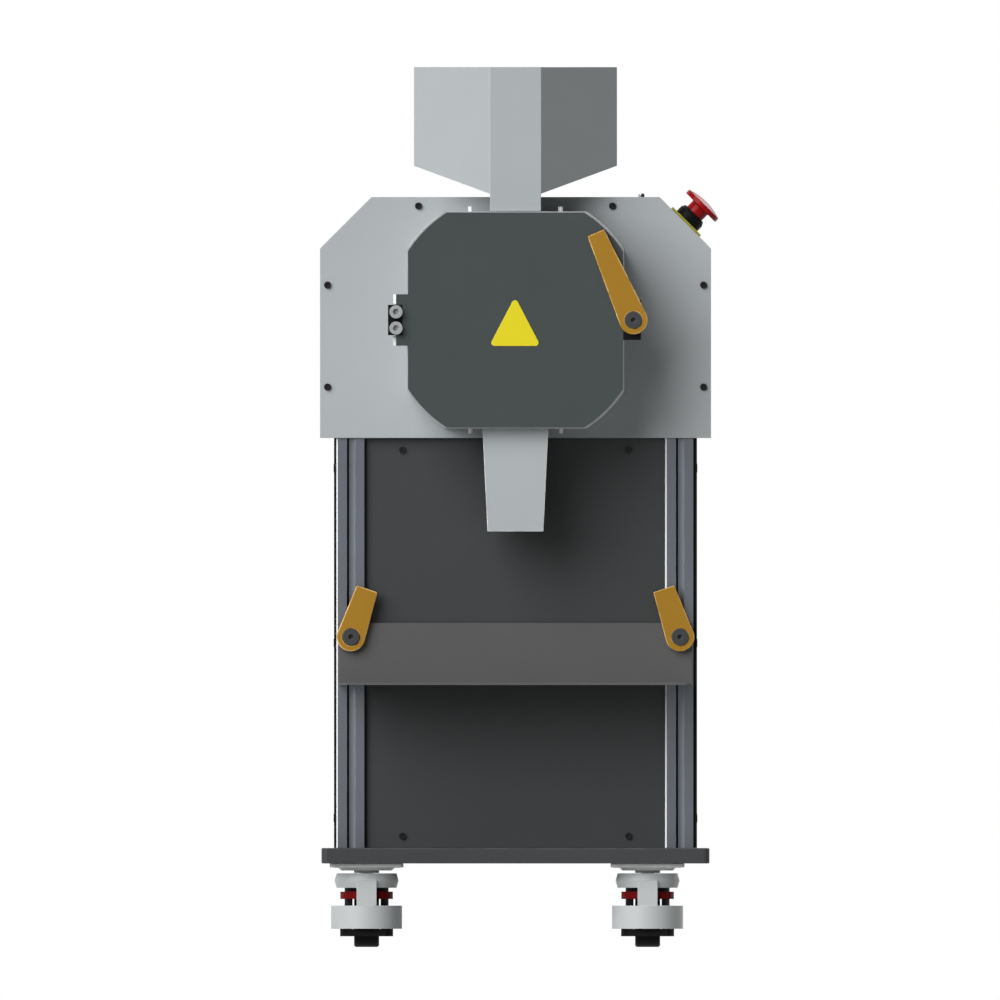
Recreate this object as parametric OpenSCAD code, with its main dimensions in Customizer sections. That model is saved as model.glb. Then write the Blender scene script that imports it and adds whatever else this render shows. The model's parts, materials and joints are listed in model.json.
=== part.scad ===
// Floor-standing plastic granulator, seen from the front along +Y, +X to the right, +Z up.
// The origin lies on the floor, on the middle plane of the machine and of its base plate.

/* [Base and frame] */
// Width of the base plate
base_w = 388; // [380:1:440]
// Depth of the base plate
base_d = 480; // [470:5:560]
// Thickness of the base plate
base_t = 15.5; // [10:0.5:20]
// Corner radius of the base plate
base_r = 6; // [3:1:12]
// Height of the four columns
column_h = 410; // [380:5:480]
// Width of the square column profile
column_w = 30; // [28:1:32]
// Distance between the centre lines of the left and right columns
column_span = 329; // [325:1:335]
// Distance from the front edge of the base plate to the columns
front_set = 130; // [126:1:150]
// Distance from the columns to the rear edge of the base plate
rear_set = 30; // [20:1:50]
// Radius of the rounded edges of a column
column_edge_r = 2; // [1:0.5:3]
// Width of the slot in each face of a column
slot_w = 8; // [7:0.5:9]
// Size of the square cross rails
rail_w = 24; // [20:1:28]
// Thickness of the sheet panels
panel_t = 2; // [1.5:0.5:3]
// How far the front panel lies behind the column faces
panel_recess = 6; // [4:0.5:8]
// Distance between the panel screws, across
panel_screw_span = 226; // [200:2:260]
// Thickness of the deck plate on top of the columns
deck_t = 10; // [8:1:14]

/* [Housing] */
// Width of the housing
housing_w = 391; // [385:1:420]
// Height of the housing
housing_h = 241; // [235:1:270]
// Size of the two upper corners cut at 45 degrees
housing_chamfer = 51.4; // [46:0.2:56]
// Thickness of the front plate
face_t = 3; // [2:0.5:5]
// Thickness of the bent cover sheet
shell_t = 2; // [1.5:0.5:3]
// Diameter of the black screw heads on the plates
screw_d = 7; // [6:0.2:8]
// Height of the black screw heads on the plates
screw_h = 2.2; // [1.5:0.1:3]
// Distance between the two upper screws of the front plate
top_screw_span = 194; // [180:2:240]
// Distance from the side screws to the edge of the front plate
side_screw_inset = 7.5; // [6:0.5:12]
// Vertical distance between the side screws
side_screw_pitch = 102; // [90:1:110]
// Height of the lower side screws above the bottom of the housing
side_screw_low = 51; // [40:1:60]

/* [Cutting chamber] */
// Distance from the top of the housing down to the rotor axis
axis_drop = 123; // [121:0.5:126]
// Depth of the chamber, from the front plate to the door
chamber_d = 90; // [84:1:110]
// How far the chamber stands out past the door all round
chamber_margin = 1; // [0.5:0.5:2]
// Radius of the round cutting space
bore_r = 82; // [80:0.5:86]
// Thickness of the rear wall of the chamber
chamber_back_t = 12; // [10:1:16]
// Width of the feed opening in the top of the chamber
feed_w = 45; // [38:1:46]
// Depth of the feed opening, along the rotor
feed_d = 62; // [50:1:64]
// Thickness of the perforated screen
screen_t = 2; // [1.5:0.5:3]
// Half of the angle that the screen covers
screen_half_angle = 40; // [39:1:42]
// Diameter of the holes in the screen
screen_hole_d = 6; // [4:0.5:7]
// Rows of holes round the screen
screen_rows = 9; // [5:1:9]
// Holes in each row
screen_columns = 6; // [4:1:6]
// Width of the fixed knives
stator_w = 24; // [20:1:25]
// Thickness of the fixed knives
stator_t = 8; // [6:0.5:10]

/* [Rotor] */
// Radius at the tips of the rotor knives
rotor_r = 78; // [74:0.5:78.5]
// Length of the rotor
rotor_l = 70; // [60:1:73]
// Radius of the rotor hub
hub_r = 34; // [28:1:38]
// Radius of the rotor shaft
shaft_r = 15; // [12:0.5:18]
// Number of rotor knives
knife_count = 3; // [2:1:5]
// Thickness of the rotor knives
knife_t = 10; // [8:0.5:12]
// Radial width of the rotor knives
knife_w = 40; // [34:1:42]

/* [Door] */
// Width and height of the door
door_w = 215; // [211:1:219]
// Radius of the round that cuts the door's corners
door_r = 127.6; // [124:0.2:132]
// Thickness of the door
door_t = 12; // [10:0.5:16]
// Gap between the closed door and the chamber
door_gap = 0.3; // [0.2:0.1:0.6]
// How far the hinge lug reaches past the door
hinge_lug_l = 12; // [11:0.5:13]
// Height of the hinge lug
hinge_lug_h = 51.5; // [50:0.5:60]
// Height of the hinge knuckle
knuckle_h = 30.5; // [30:0.5:34]
// How far the hinge knuckle reaches past the door
knuckle_reach = 20; // [19:0.5:21]
// Radius of the hinge pin
hinge_pin_r = 2.5; // [2:0.1:3]
// Radius of the hinge ears round the pin
hinge_ear_r = 4.9; // [4.5:0.1:5.5]
// Distance from the hinge pin to the edge of the door
hinge_out = 10; // [9:0.5:11]
// Distance from the hinge pin to the inner face of the door
hinge_back = 13.3; // [12:0.1:15]
// Diameter of the hinge screw heads
hinge_screw_d = 13; // [12:0.5:14]
// Height of the hinge screw heads
hinge_screw_h = 8; // [6:0.5:9]
// Distance between the hinge screws
hinge_screw_pitch = 16.3; // [15:0.1:18]

/* [Door latch] */
// Distance from the latch pivot to the edge of the door
latch_out = 10.4; // [10:0.2:12]
// Height of the latch lug on the door
latch_lug_h = 40; // [34:1:44]
// How far the latch lug reaches past the door
latch_lug_l = 18; // [16:0.5:20]
// Length of the latch lever, pivot to tip
latch_l = 95; // [70:1:110]
// Width of the latch lever at its tip
latch_tip_w = 18; // [14:0.5:22]
// Angle of the closed latch lever from upright
latch_lean = 23.4; // [10:0.2:40]

/* [Clamping levers] */
// Radius of the round end of every lever
lever_r = 14.4; // [13:0.2:16]
// Thickness of the levers
lever_t = 8; // [6:0.5:10]
// Radius of the dark hub in the levers
lever_hub_r = 8.5; // [7:0.1:9.5]
// Radius of the lever studs
stud_r = 3; // [2.5:0.1:3.5]

/* [Hopper] */
// Width of the hopper
hopper_w = 203; // [180:1:240]
// Height of the hopper from the front edge of its floor
hopper_h = 127; // [110:1:160]
// Depth of the hopper
hopper_d = 175; // [150:1:200]
// Width of the flat front strip and of the throat
throat_w = 51; // [50:0.5:54]
// Depth of the throat
throat_d = 68; // [67:0.5:72]
// How far the hopper's front edge lies behind the front of the chamber
hopper_set = 8; // [7:0.5:12]
// Rise of the hopper floor across one slanted side
floor_rise = 28; // [20:1:40]
// Height of the throat below the hopper
throat_h = 17.5; // [14:0.5:30]
// Sheet thickness of hopper and chute
sheet_t = 2; // [1.5:0.5:2.5]

/* [Discharge chute] */
// Width of the chute at the top
chute_top_w = 66; // [64:1:72]
// Width of the chute at the mouth
chute_low_w = 56; // [46:1:60]
// Length of the chute
chute_h = 103; // [80:1:110]
// Depth of the chute at the top
chute_d = 68; // [67:0.5:72]
// How far the rear wall of the chute leans forward at the mouth
chute_lean = 10; // [0:1:16]

/* [Shelf] */
// Width of the shelf
shelf_w = 353.5; // [345:0.5:358]
// Height of the shelf's upright flange
shelf_flange_h = 62; // [50:1:80]
// Sheet thickness of the shelf
shelf_t = 2; // [1.5:0.5:3]
// Reach of the shelf in front of the columns
shelf_reach = 120; // [90:1:126]
// Height of the shelf above the base plate
shelf_rise = 165; // [158:1:200]
// Height of the clamp pivots above the shelf
clamp_rise = 46; // [40:0.5:50]
// Length of the clamp levers, pivot to tip
clamp_l = 50.8; // [44:0.2:60]
// Width of the clamp levers at the tip
clamp_tip_w = 22; // [16:0.5:24]
// Angle of the clamp levers from upright
clamp_lean = 18.6; // [5:0.2:40]

/* [Casters] */
// Distance between the left and right casters
caster_span_x = 281; // [276:1:290]
// How far the casters sit to the left of the middle plane
caster_shift = 8.4; // [0:0.1:10]
// Distance between the front and rear casters
caster_span_y = 380; // [360:5:390]
// Width of the square mounting plates
caster_plate_w = 74; // [70:1:78]
// Thickness of the mounting plates
caster_plate_t = 4; // [3:0.5:5]
// Radius of the wheels
wheel_r = 25; // [24:0.2:25.6]
// Width of the wheels
wheel_w = 25; // [22:0.5:26]
// Distance from the swivel axis back to the wheel axle
wheel_trail = 3.5; // [2:0.5:4]
// Radius of the drum round the wheel
drum_r = 35.5; // [35:0.1:37]
// Height of the drum
drum_h = 23.2; // [22:0.2:24]
// Height of the open lower edge of the drum above the floor
drum_low = 18.2; // [17.6:0.2:19]
// Radius of the red thumbwheel
thumb_r = 26.3; // [25:0.1:27]
// Height of the thumbwheel
thumb_h = 7.4; // [6:0.2:8]
// Radius of the levelling foot
foot_r = 26.5; // [24:0.5:28]
// Thickness of the levelling foot
foot_t = 7.5; // [6.5:0.5:8]
// Radius of the axle
axle_r = 4; // [3:0.2:5]

/* [Emergency stop] */
// Distance from the front plate back to the emergency stop
estop_set = 42; // [34:1:80]
// Width of the yellow plate
estop_plate_w = 40; // [36:1:44]
// Thickness of the yellow plate
estop_plate_t = 2.5; // [2:0.5:4]
// Radius of the red mushroom head
estop_head_r = 20.7; // [19:0.1:22]
// Radius of the red neck
estop_neck_r = 10.2; // [9:0.1:10.6]
// Radius of the black collar
estop_collar_r = 14.5; // [13.5:0.1:16]
// Height of the crown above the housing
estop_h = 29.8; // [29:0.1:34]

/* [Hidden] */
$fn = 64;
// Overrun of every cut
over = 1;
// Clearance between pieces that only lie beside each other
seat = 0.3;
// Radial clearance of every turning fit
running = 0.05;
frame_grey = [0.20, 0.21, 0.21];
plate_grey = [0.62, 0.65, 0.66];
column_grey = [0.38, 0.40, 0.44];
door_grey = [0.27, 0.29, 0.29];
lever_yellow = [0.70, 0.48, 0.11];
steel = [0.70, 0.71, 0.72];
black = [0.07, 0.07, 0.07];
stop_red = [0.70, 0.05, 0.08];

// Heights
caster_h = 83.5;
base_top = caster_h + base_t;
deck_z = base_top + column_h;
top_z = deck_z + housing_h;
axis_z = top_z - axis_drop;
shelf_z = base_top + shelf_rise;
clamp_z = shelf_z + clamp_rise;

// Places along the depth
column_y = front_set - base_d / 2;
rear_y = base_d / 2 - rear_set;
frame_d = rear_y - column_y;
face_y = column_y - face_t;
chamber_y = face_y - chamber_d;
door_back_y = chamber_y - door_gap;
door_y = door_back_y - door_t;
rotor_y = face_y - chamber_back_t - (chamber_d - chamber_back_t) / 2;

// Places across
column_x = column_span / 2;
inner_w = column_span - column_w;
outer_w = column_span + column_w;
hinge_x = -door_w / 2 - hinge_out;
hinge_y = door_back_y + hinge_back;
latch_x = door_w / 2 + latch_out;
chamber_w = door_w + 2 * chamber_margin;
chamber_r = door_r + 2 * chamber_margin;
chamber_top = axis_z + chamber_w / 2;
chamber_low = axis_z - chamber_w / 2;

// A block between two corners
module block(low, high) {
    translate(low) cube(high - low);
}

// A round bar along Y, from y1 to y2
module bar_y(x, z, r, y1, y2) {
    translate([x, y1, z]) rotate([-90, 0, 0]) cylinder(r = r, h = y2 - y1);
}

// Extrudes a flat outline drawn in X and Z, from y1 to y2
module front_outline(y1, y2) {
    translate([0, y2, 0]) rotate([90, 0, 0]) linear_extrude(y2 - y1) children();
}

// Puts a piece at its place and at the mirrored one
module both_sides() {
    for (side = [0, 1]) mirror([side, 0, 0]) children();
}

module rounded_square(w, d, r) {
    square([w - 2 * r, d], center = true);
    square([w, d - 2 * r], center = true);
    for (x = [-1, 1], y = [-1, 1])
        translate([x * (w / 2 - r), y * (d / 2 - r)]) circle(r);
}

// Frame
module base_plate() {
    color(frame_grey) translate([0, 0, caster_h])
        linear_extrude(base_t) rounded_square(base_w, base_d, base_r);
}

// Outline of the slotted column, with a slot in each face
slot_lip = 1.6;
slot_cavity_w = 16.4;
slot_side_h = 2.6;
slot_depth = 6.4;
column_bore_r = 3.4;
module slot_outline() {
    translate([0, -column_w / 2]) polygon([
        [-slot_w / 2, -over], [-slot_w / 2, slot_lip],
        [-slot_cavity_w / 2, slot_lip], [-slot_cavity_w / 2, slot_lip + slot_side_h],
        [-slot_w / 2, slot_depth], [slot_w / 2, slot_depth],
        [slot_cavity_w / 2, slot_lip + slot_side_h], [slot_cavity_w / 2, slot_lip],
        [slot_w / 2, slot_lip], [slot_w / 2, -over]]);
}

module column(x, y) {
    translate([x, y, base_top]) linear_extrude(column_h) difference() {
        rounded_square(column_w, column_w, column_edge_r);
        for (turn = [0:3]) rotate(90 * turn) slot_outline();
        circle(column_bore_r);
    }
}

module front_columns() {
    color(column_grey) for (side = [-1, 1]) column(side * column_x, column_y + column_w / 2);
}

module rear_columns() {
    color(column_grey) for (side = [-1, 1]) column(side * column_x, rear_y - column_w / 2);
}

panel_y = column_y + panel_recess;
rail_y = panel_y + panel_t;
rear_panel_y = rear_y - panel_recess;
module cross_rails() {
    color(column_grey)
        for (y = [rail_y, rear_panel_y - panel_t - rail_w], z = [base_top, deck_z - rail_w])
            block([-inner_w / 2, y, z], [inner_w / 2, y + rail_w, z + rail_w]);
}

module deck_plate() {
    deck_w = housing_w - 2 * shell_t - 2 * seat;
    color(plate_grey) block([-deck_w / 2, column_y, deck_z],
        [deck_w / 2, rear_y - shell_t, deck_z + deck_t]);
}

module panel_sheet(y) {
    block([-inner_w / 2, y, base_top], [inner_w / 2, y + panel_t, deck_z]);
}

module front_panel() {
    color(frame_grey) panel_sheet(panel_y);
}

module rear_lower_panel() {
    color(frame_grey) panel_sheet(rear_panel_y - panel_t);
}

module side_panels() {
    color(frame_grey) both_sides()
        block([outer_w / 2, column_y, base_top], [outer_w / 2 + panel_t, rear_y, deck_z]);
}

// Housing
module housing_outline(margin) {
    w = housing_w / 2 - margin;
    h = housing_h - margin;
    c = housing_chamfer - margin * tan(22.5);
    polygon([[-w, 0], [w, 0], [w, h - c], [w - c, h], [-w + c, h], [-w, h - c]]);
}

module front_plate() {
    color(plate_grey) difference() {
        translate([0, 0, deck_z]) front_outline(face_y, column_y) housing_outline(0);
        bar_y(0, axis_z, shaft_r + over, face_y - over, column_y + over);
    }
}

module on_chamfer() {
    translate([housing_w / 2 - housing_chamfer / 2, column_y + estop_set,
        top_z - housing_chamfer / 2]) rotate([0, 45, 0]) children();
}

estop_hole_r = 11.4;
module housing_shell() {
    color(plate_grey) difference() {
        translate([0, 0, deck_z]) front_outline(column_y, rear_y - shell_t) difference() {
            housing_outline(0);
            translate([0, -shell_t]) housing_outline(shell_t);
            translate([-housing_w, -housing_h]) square([2 * housing_w, housing_h]);
        }
        on_chamfer() translate([0, 0, -housing_chamfer / 2])
            cylinder(r = estop_hole_r, h = housing_chamfer);
    }
}

// Rear sheet with rows of cooling slots over the motor
vent_w = 70;
vent_h = 6;
vent_pitch = 14;
vent_rows = 5;
gland_r = 9;
gland_rise = 40;
// Distance from the sides of the housing in to the switch and to the gland
rear_fitting_in = 75.5;
switch_x = housing_w / 2 - rear_fitting_in;
gland_x = -switch_x;
switch_rise = 150;
switch_neck_r = 7;
module rear_panel() {
    color(plate_grey) difference() {
        translate([0, 0, deck_z]) front_outline(rear_y - shell_t, rear_y) housing_outline(0);
        for (row = [0:vent_rows - 1])
            translate([0, 0, axis_z + vent_pitch * (row - (vent_rows - 1) / 2)])
                block([-vent_w / 2, rear_y - shell_t - over, -vent_h / 2],
                    [vent_w / 2, rear_y + over, vent_h / 2]);
        bar_y(gland_x, deck_z + gland_rise, gland_r, rear_y - shell_t - over, rear_y + over);
        bar_y(switch_x, deck_z + switch_rise, switch_neck_r, rear_y - shell_t - over, rear_y + over);
    }
}

// Cutting chamber
module door_outline(w, r) {
    intersection() {
        square(w, center = true);
        circle(r, $fn = 128);
    }
}

// Places something drawn about the rotor axis
module on_axis() {
    translate([0, 0, axis_z]) children();
}

chamber_floor_y = face_y - chamber_back_t;
rotor_front_y = rotor_y - rotor_l / 2;
rotor_back_y = rotor_y + rotor_l / 2;
window_top_w = 96;
window_top_drop = 64;
chute_mouth_w = chute_top_w - 2 * sheet_t;
chamber_screw_span = 90;
chamber_screw_r = 2.3;
chamber_screw_h = 5;
chamber_screw_depth = 12;
stator_gap = 0.6;
stator_x = rotor_r + stator_gap;

module stator_slots(slack) {
    both_sides() block([stator_x - slack, rotor_front_y - slack, axis_z - stator_t / 2 - slack],
        [stator_x + stator_w + slack, rotor_back_y + slack, axis_z + stator_t / 2 + slack]);
}

module chamber_screw_places() {
    for (x = [-1, 1], top = [0, 1])
        translate([x * chamber_screw_span / 2, rotor_y, top ? chamber_top : chamber_low])
            rotate([top ? 0 : 180, 0, 0]) children();
}

module cutting_chamber() {
    color(steel) difference() {
        on_axis() front_outline(chamber_y, face_y) door_outline(chamber_w, chamber_r);
        bar_y(0, axis_z, bore_r, chamber_y - over, chamber_floor_y);
        bar_y(0, axis_z, shaft_r + running, chamber_y, face_y + over);
        block([-feed_w / 2, rotor_y - feed_d / 2, axis_z],
            [feed_w / 2, rotor_y + feed_d / 2, chamber_top + over]);
        on_axis() front_outline(rotor_y - feed_d / 2, rotor_y + feed_d / 2) polygon([
            [-window_top_w / 2, -window_top_drop], [window_top_w / 2, -window_top_drop],
            [chute_mouth_w / 2, -chamber_w / 2], [chute_mouth_w / 2, -chamber_w / 2 - over],
            [-chute_mouth_w / 2, -chamber_w / 2 - over], [-chute_mouth_w / 2, -chamber_w / 2]]);
        on_axis() front_outline(chamber_y - over, chamber_floor_y)
            screen_arc(bore_r - over, bore_r + screen_t + seat, screen_half_angle + slot_margin);
        stator_slots(seat);
        chamber_screw_places() translate([0, 0, -chamber_screw_depth])
            cylinder(r = chamber_screw_r, h = chamber_screw_depth + over);
    }
}

// A band of a ring, centred on straight down
module screen_arc(r1, r2, half_angle) {
    difference() {
        intersection() {
            circle(r2, $fn = 128);
            reach = 2 * r2;
            polygon([[0, 0], [-reach * sin(half_angle), -reach * cos(half_angle)],
                [0, -2 * reach], [reach * sin(half_angle), -reach * cos(half_angle)]]);
        }
        circle(r1, $fn = 128);
    }
}

// Angles: the screen's seat past its ends, and its plain ends without holes
slot_margin = 1;
screen_end = 5;
module screen() {
    hole_step = 2 * (screen_half_angle - screen_end) / screen_rows;
    length = chamber_floor_y - chamber_y - 2 * seat;
    hole_pitch = feed_d / (screen_columns + 1);
    color(steel) difference() {
        on_axis() front_outline(chamber_y + seat, chamber_y + seat + length)
            screen_arc(bore_r, bore_r + screen_t, screen_half_angle);
        for (row = [0:screen_rows - 1], place = [1:screen_columns])
            translate([0, rotor_y - feed_d / 2 + hole_pitch * place, axis_z])
                rotate([0, 180 + hole_step * (row - (screen_rows - 1) / 2), 0])
                    translate([0, 0, bore_r - over])
                        cylinder(d = screen_hole_d, h = screen_t + 2 * over, $fn = 24);
    }
}

module stator_knives() {
    edge = stator_t / 2;
    color(steel) both_sides() on_axis() front_outline(rotor_front_y, rotor_back_y) polygon([
        [stator_x, stator_t / 2], [stator_x + edge, -stator_t / 2],
        [stator_x + stator_w, -stator_t / 2], [stator_x + stator_w, stator_t / 2]]);
}

module chamber_screws() {
    color(steel) chamber_screw_places() translate([0, 0, -chamber_screw_depth])
        cylinder(r = chamber_screw_r, h = chamber_screw_depth + chamber_screw_h);
}

// Rotor
module knife_places() {
    for (place = [0:knife_count - 1]) rotate(90 + 360 / knife_count * place) children();
}

knife_bevel = 6;
module rotor_knives() {
    color(steel) on_axis() front_outline(rotor_front_y, rotor_back_y) knife_places()
        polygon([[rotor_r - knife_w, 0], [rotor_r, 0], [rotor_r - knife_bevel, knife_t],
            [rotor_r - knife_w, knife_t]]);
}

arm_shares = [0.93, 0.80, 0.62, 0.90];
arm_w_share = 1.6;
module rotor_profile() {
    front_outline(rotor_front_y, rotor_back_y) children();
}

module rotor_core() {
    color(column_grey) on_axis() difference() {
        union() {
            rotor_profile() circle(hub_r);
            for (place = [0:knife_count - 1]) rotor_profile() rotate(90 + 360 / knife_count * place)
                polygon([[shaft_r, 0], [rotor_r * arm_shares[0], 0],
                    [rotor_r * arm_shares[1], -knife_t * arm_w_share],
                    [hub_r * arm_shares[2], -hub_r * arm_shares[3]]]);
        }
        rotor_profile() knife_places() translate([rotor_r - knife_w - seat, 0])
            square([knife_w + over, knife_t + over]);
        bar_y(0, 0, shaft_r, rotor_front_y - over, rotor_back_y + over);
    }
}

shaft_nose = 2;
shaft_tail = 40;
motor_box_d = 70;
bearing_d = 18;
bearing_gap = 34;
motor_y = column_y + 2 * bearing_d + bearing_gap + seat;
module rotor_shaft() {
    color(steel) bar_y(0, axis_z, shaft_r, rotor_front_y - shaft_nose, motor_y + shaft_tail);
}

bearing_r = 30;
bearing_flange_r = 46;
bearing_flange_t = 8;
module bearings() {
    color(column_grey) difference() {
        union() {
            bar_y(0, axis_z, bearing_flange_r, column_y, column_y + bearing_flange_t);
            bar_y(0, axis_z, bearing_r, column_y, column_y + bearing_d);
        }
        bar_y(0, axis_z, shaft_r + running, column_y - over, column_y + bearing_d + over);
    }
    y = motor_y - bearing_d - seat;
    foot_w = 2 * bearing_r;
    color(column_grey) difference() {
        union() {
            bar_y(0, axis_z, bearing_r, y, y + bearing_d);
            block([-foot_w / 2, y, deck_z + deck_t], [foot_w / 2, y + bearing_d, axis_z]);
        }
        bar_y(0, axis_z, shaft_r + running, y - over, y + bearing_d + over);
    }
}

gearbox_w = 120;
motor_r = 58;
motor_space = 57.7;
motor_l = rear_y - shell_t - motor_space - motor_y - motor_box_d;
fin_count = 24;
fin_r = 62;
fin_t = 2.4;
module drive_motor() {
    color(frame_grey) difference() {
        union() {
            block([-gearbox_w / 2, motor_y, deck_z + deck_t],
                [gearbox_w / 2, motor_y + motor_box_d, axis_z + gearbox_w / 2]);
            bar_y(0, axis_z, motor_r, motor_y, motor_y + motor_box_d + motor_l);
            on_axis() front_outline(motor_y + motor_box_d, motor_y + motor_box_d + motor_l / 2)
                for (fin = [0:fin_count - 1]) rotate(360 / fin_count * (fin + 0.5))
                    translate([0, -fin_t / 2]) square([fin_r, fin_t]);
        }
        bar_y(0, axis_z, shaft_r + running, motor_y - over, motor_y + shaft_tail + seat);
    }
}

// Hopper: an upright six-sided funnel whose floor slopes down to the throat
hopper_y = chamber_y + hopper_set;
hopper_floor_z = chamber_top + throat_h;
flare = (hopper_w - throat_w) / 2;
floor_angle = atan(floor_rise / flare);
module hopper_plan(margin) {
    w = hopper_w / 2 - margin;
    n = throat_w / 2 - margin * tan(22.5);
    y1 = hopper_y + margin;
    y2 = hopper_y + flare + margin * tan(22.5);
    y3 = hopper_y + hopper_d - margin;
    polygon([[-n, y1], [n, y1], [w, y2], [w, y3], [-w, y3], [-w, y2]]);
}

// Everything above the sloping floor, raised by lift
module above_floor(lift) {
    big = 2 * (hopper_w + hopper_d + hopper_h);
    translate([-big / 2, hopper_y, hopper_floor_z + lift]) rotate([floor_angle, 0, 0])
        translate([0, -big / 2]) cube(big);
}

module throat_tube(margin, low, high) {
    block([-throat_w / 2 + margin, hopper_y + margin, low],
        [throat_w / 2 - margin, hopper_y + throat_d - margin, high]);
}

module hopper() {
    rim = hopper_floor_z + hopper_h;
    low = chamber_top + seat;
    color(plate_grey) difference() {
        union() {
            intersection() {
                translate([0, 0, hopper_floor_z - over]) linear_extrude(rim - hopper_floor_z + over)
                    hopper_plan(0);
                above_floor(0);
            }
            throat_tube(0, low, hopper_floor_z + floor_rise * throat_d / flare);
        }
        intersection() {
            translate([0, 0, hopper_floor_z]) linear_extrude(rim) hopper_plan(sheet_t);
            above_floor(sheet_t);
        }
        throat_tube(sheet_t, low - over, rim);
    }
}

// Discharge chute, narrowing downwards, its rear wall leaning forward
chute_front_y = rotor_y - chute_d / 2;
module chute_body(margin) {
    top = chamber_low - seat + (margin > 0 ? over : 0);
    low = chamber_low - chute_h - (margin > 0 ? over : 0);
    intersection() {
        front_outline(chute_front_y + margin, chute_front_y + chute_d - margin) polygon([
            [-chute_top_w / 2 + margin, top], [chute_top_w / 2 - margin, top],
            [chute_low_w / 2 - margin, low], [-chute_low_w / 2 + margin, low]]);
        translate([-chute_top_w / 2, 0, 0]) rotate([90, 0, 90]) linear_extrude(chute_top_w)
            polygon([[chute_front_y, top + over], [chute_front_y + chute_d - margin, top + over],
                [chute_front_y + chute_d - margin, top],
                [chute_front_y + chute_d - chute_lean - margin, low],
                [chute_front_y + chute_d - chute_lean - margin, low - over],
                [chute_front_y, low - over]]);
    }
}

module chute() {
    color(plate_grey) difference() {
        chute_body(0);
        chute_body(sheet_t);
    }
}

// Hinge: two fixed ears hold the pin, and the knuckle on the door turns on it
hinge_bracket_t = 4;
knuckle_r = 6;
arm_gap = 2;
ear_gap = 0.5;
bracket_back = 30;
ear_h = hinge_lug_h / 2 - knuckle_h / 2 - ear_gap;
module ear_places() {
    for (low = [-hinge_lug_h / 2, hinge_lug_h / 2 - ear_h]) translate([0, 0, axis_z + low]) children();
}

module hinge_bracket() {
    side = -chamber_w / 2 - seat;
    color(steel) difference() {
        union() {
            ear_places() linear_extrude(ear_h) {
                translate([hinge_x, hinge_y]) circle(hinge_ear_r);
                translate([hinge_x, hinge_y - hinge_ear_r + over])
                    square([side - hinge_x, 2 * hinge_ear_r - over]);
                translate([side - hinge_bracket_t, hinge_y]) square([hinge_bracket_t, bracket_back]);
            }
            block([side - hinge_bracket_t, hinge_y + 2 * knuckle_r, axis_z - hinge_lug_h / 2],
                [side, hinge_y + bracket_back, axis_z + hinge_lug_h / 2]);
        }
        translate([hinge_x, hinge_y, axis_z - hinge_lug_h / 2 - over])
            cylinder(r = hinge_pin_r, h = hinge_lug_h + 2 * over);
    }
}

module hinge_pin() {
    color(steel) translate([hinge_x, hinge_y, axis_z - hinge_lug_h / 2])
        cylinder(r = hinge_pin_r, h = hinge_lug_h);
}

hinge_shank_r = 4;
hinge_screw_x = -door_w / 2 - hinge_lug_l;
hinge_screw_depth = 7;
module hinge_screw_places() {
    for (side = [-1, 1]) translate([hinge_screw_x, 0, axis_z + side * hinge_screw_pitch / 2])
        children();
}

module hinge_knuckle() {
    color(black) difference() {
        translate([0, 0, axis_z - knuckle_h / 2]) linear_extrude(knuckle_h) {
            translate([hinge_x, hinge_y]) circle(knuckle_r);
            translate([-door_w / 2 - knuckle_reach, door_back_y])
                square([knuckle_reach - hinge_out + knuckle_r, hinge_back - arm_gap]);
        }
        translate([hinge_x, hinge_y, axis_z - knuckle_h])
            cylinder(r = hinge_pin_r + running, h = 2 * knuckle_h);
        hinge_screw_places()
            bar_y(0, 0, hinge_shank_r, door_back_y - over, door_back_y + hinge_screw_depth);
    }
}

module hinge_screws() {
    color(steel) hinge_screw_places() difference() {
        union() {
            bar_y(0, 0, hinge_screw_d / 2, door_y - hinge_screw_h, door_y);
            bar_y(0, 0, hinge_shank_r, door_y - over, door_back_y + hinge_screw_depth);
        }
        translate([0, door_y - hinge_screw_h / 2, 0]) rotate([90, 0, 0])
            cylinder(r = hinge_shank_r * 0.85, h = hinge_screw_h, $fn = 6);
    }
}

// Door with its hinge lug on the left and its latch lug on the right
module door() {
    color(door_grey) difference() {
        on_axis() front_outline(door_y, door_back_y) {
            door_outline(door_w, door_r);
            translate([-door_w / 2 - hinge_lug_l, -hinge_lug_h / 2])
                square([2 * hinge_lug_l, hinge_lug_h]);
            translate([-door_w / 2 - knuckle_reach, -knuckle_h / 2])
                square([knuckle_reach + over, knuckle_h]);
            translate([door_w / 2 - over, -latch_lug_h / 2])
                square([latch_lug_l + over, latch_lug_h]);
        }
        hinge_screw_places() bar_y(0, 0, hinge_shank_r, door_y - over, door_back_y + over);
        bar_y(latch_x, axis_z, stud_r + running, door_y - over, door_back_y + over);
    }
}

// A lever: round about its hub and narrowing to a square tip, upright from the origin
module lever(y, length, tip_w) {
    difference() {
        front_outline(y - lever_t, y) hull() {
            circle(lever_r, $fn = 48);
            translate([-tip_w / 2, length - over]) square([tip_w, over]);
        }
        bar_y(0, 0, lever_hub_r, y - lever_t - over, y + over);
    }
}

// The dark hub of a lever with its stud, from the lever's back at y to the stud's end
hub_proud = 1.6;
hub_socket_r = 2.6;
hub_socket_h = 4;
module lever_stud(y, end_y) {
    difference() {
        union() {
            bar_y(0, 0, lever_hub_r, y - lever_t - hub_proud, y);
            bar_y(0, 0, stud_r, y - over, end_y);
        }
        translate([0, y - lever_t - hub_proud + hub_socket_h, 0]) rotate([90, 0, 0])
            cylinder(r = hub_socket_r, h = hub_socket_h + over, $fn = 6);
    }
}

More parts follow.
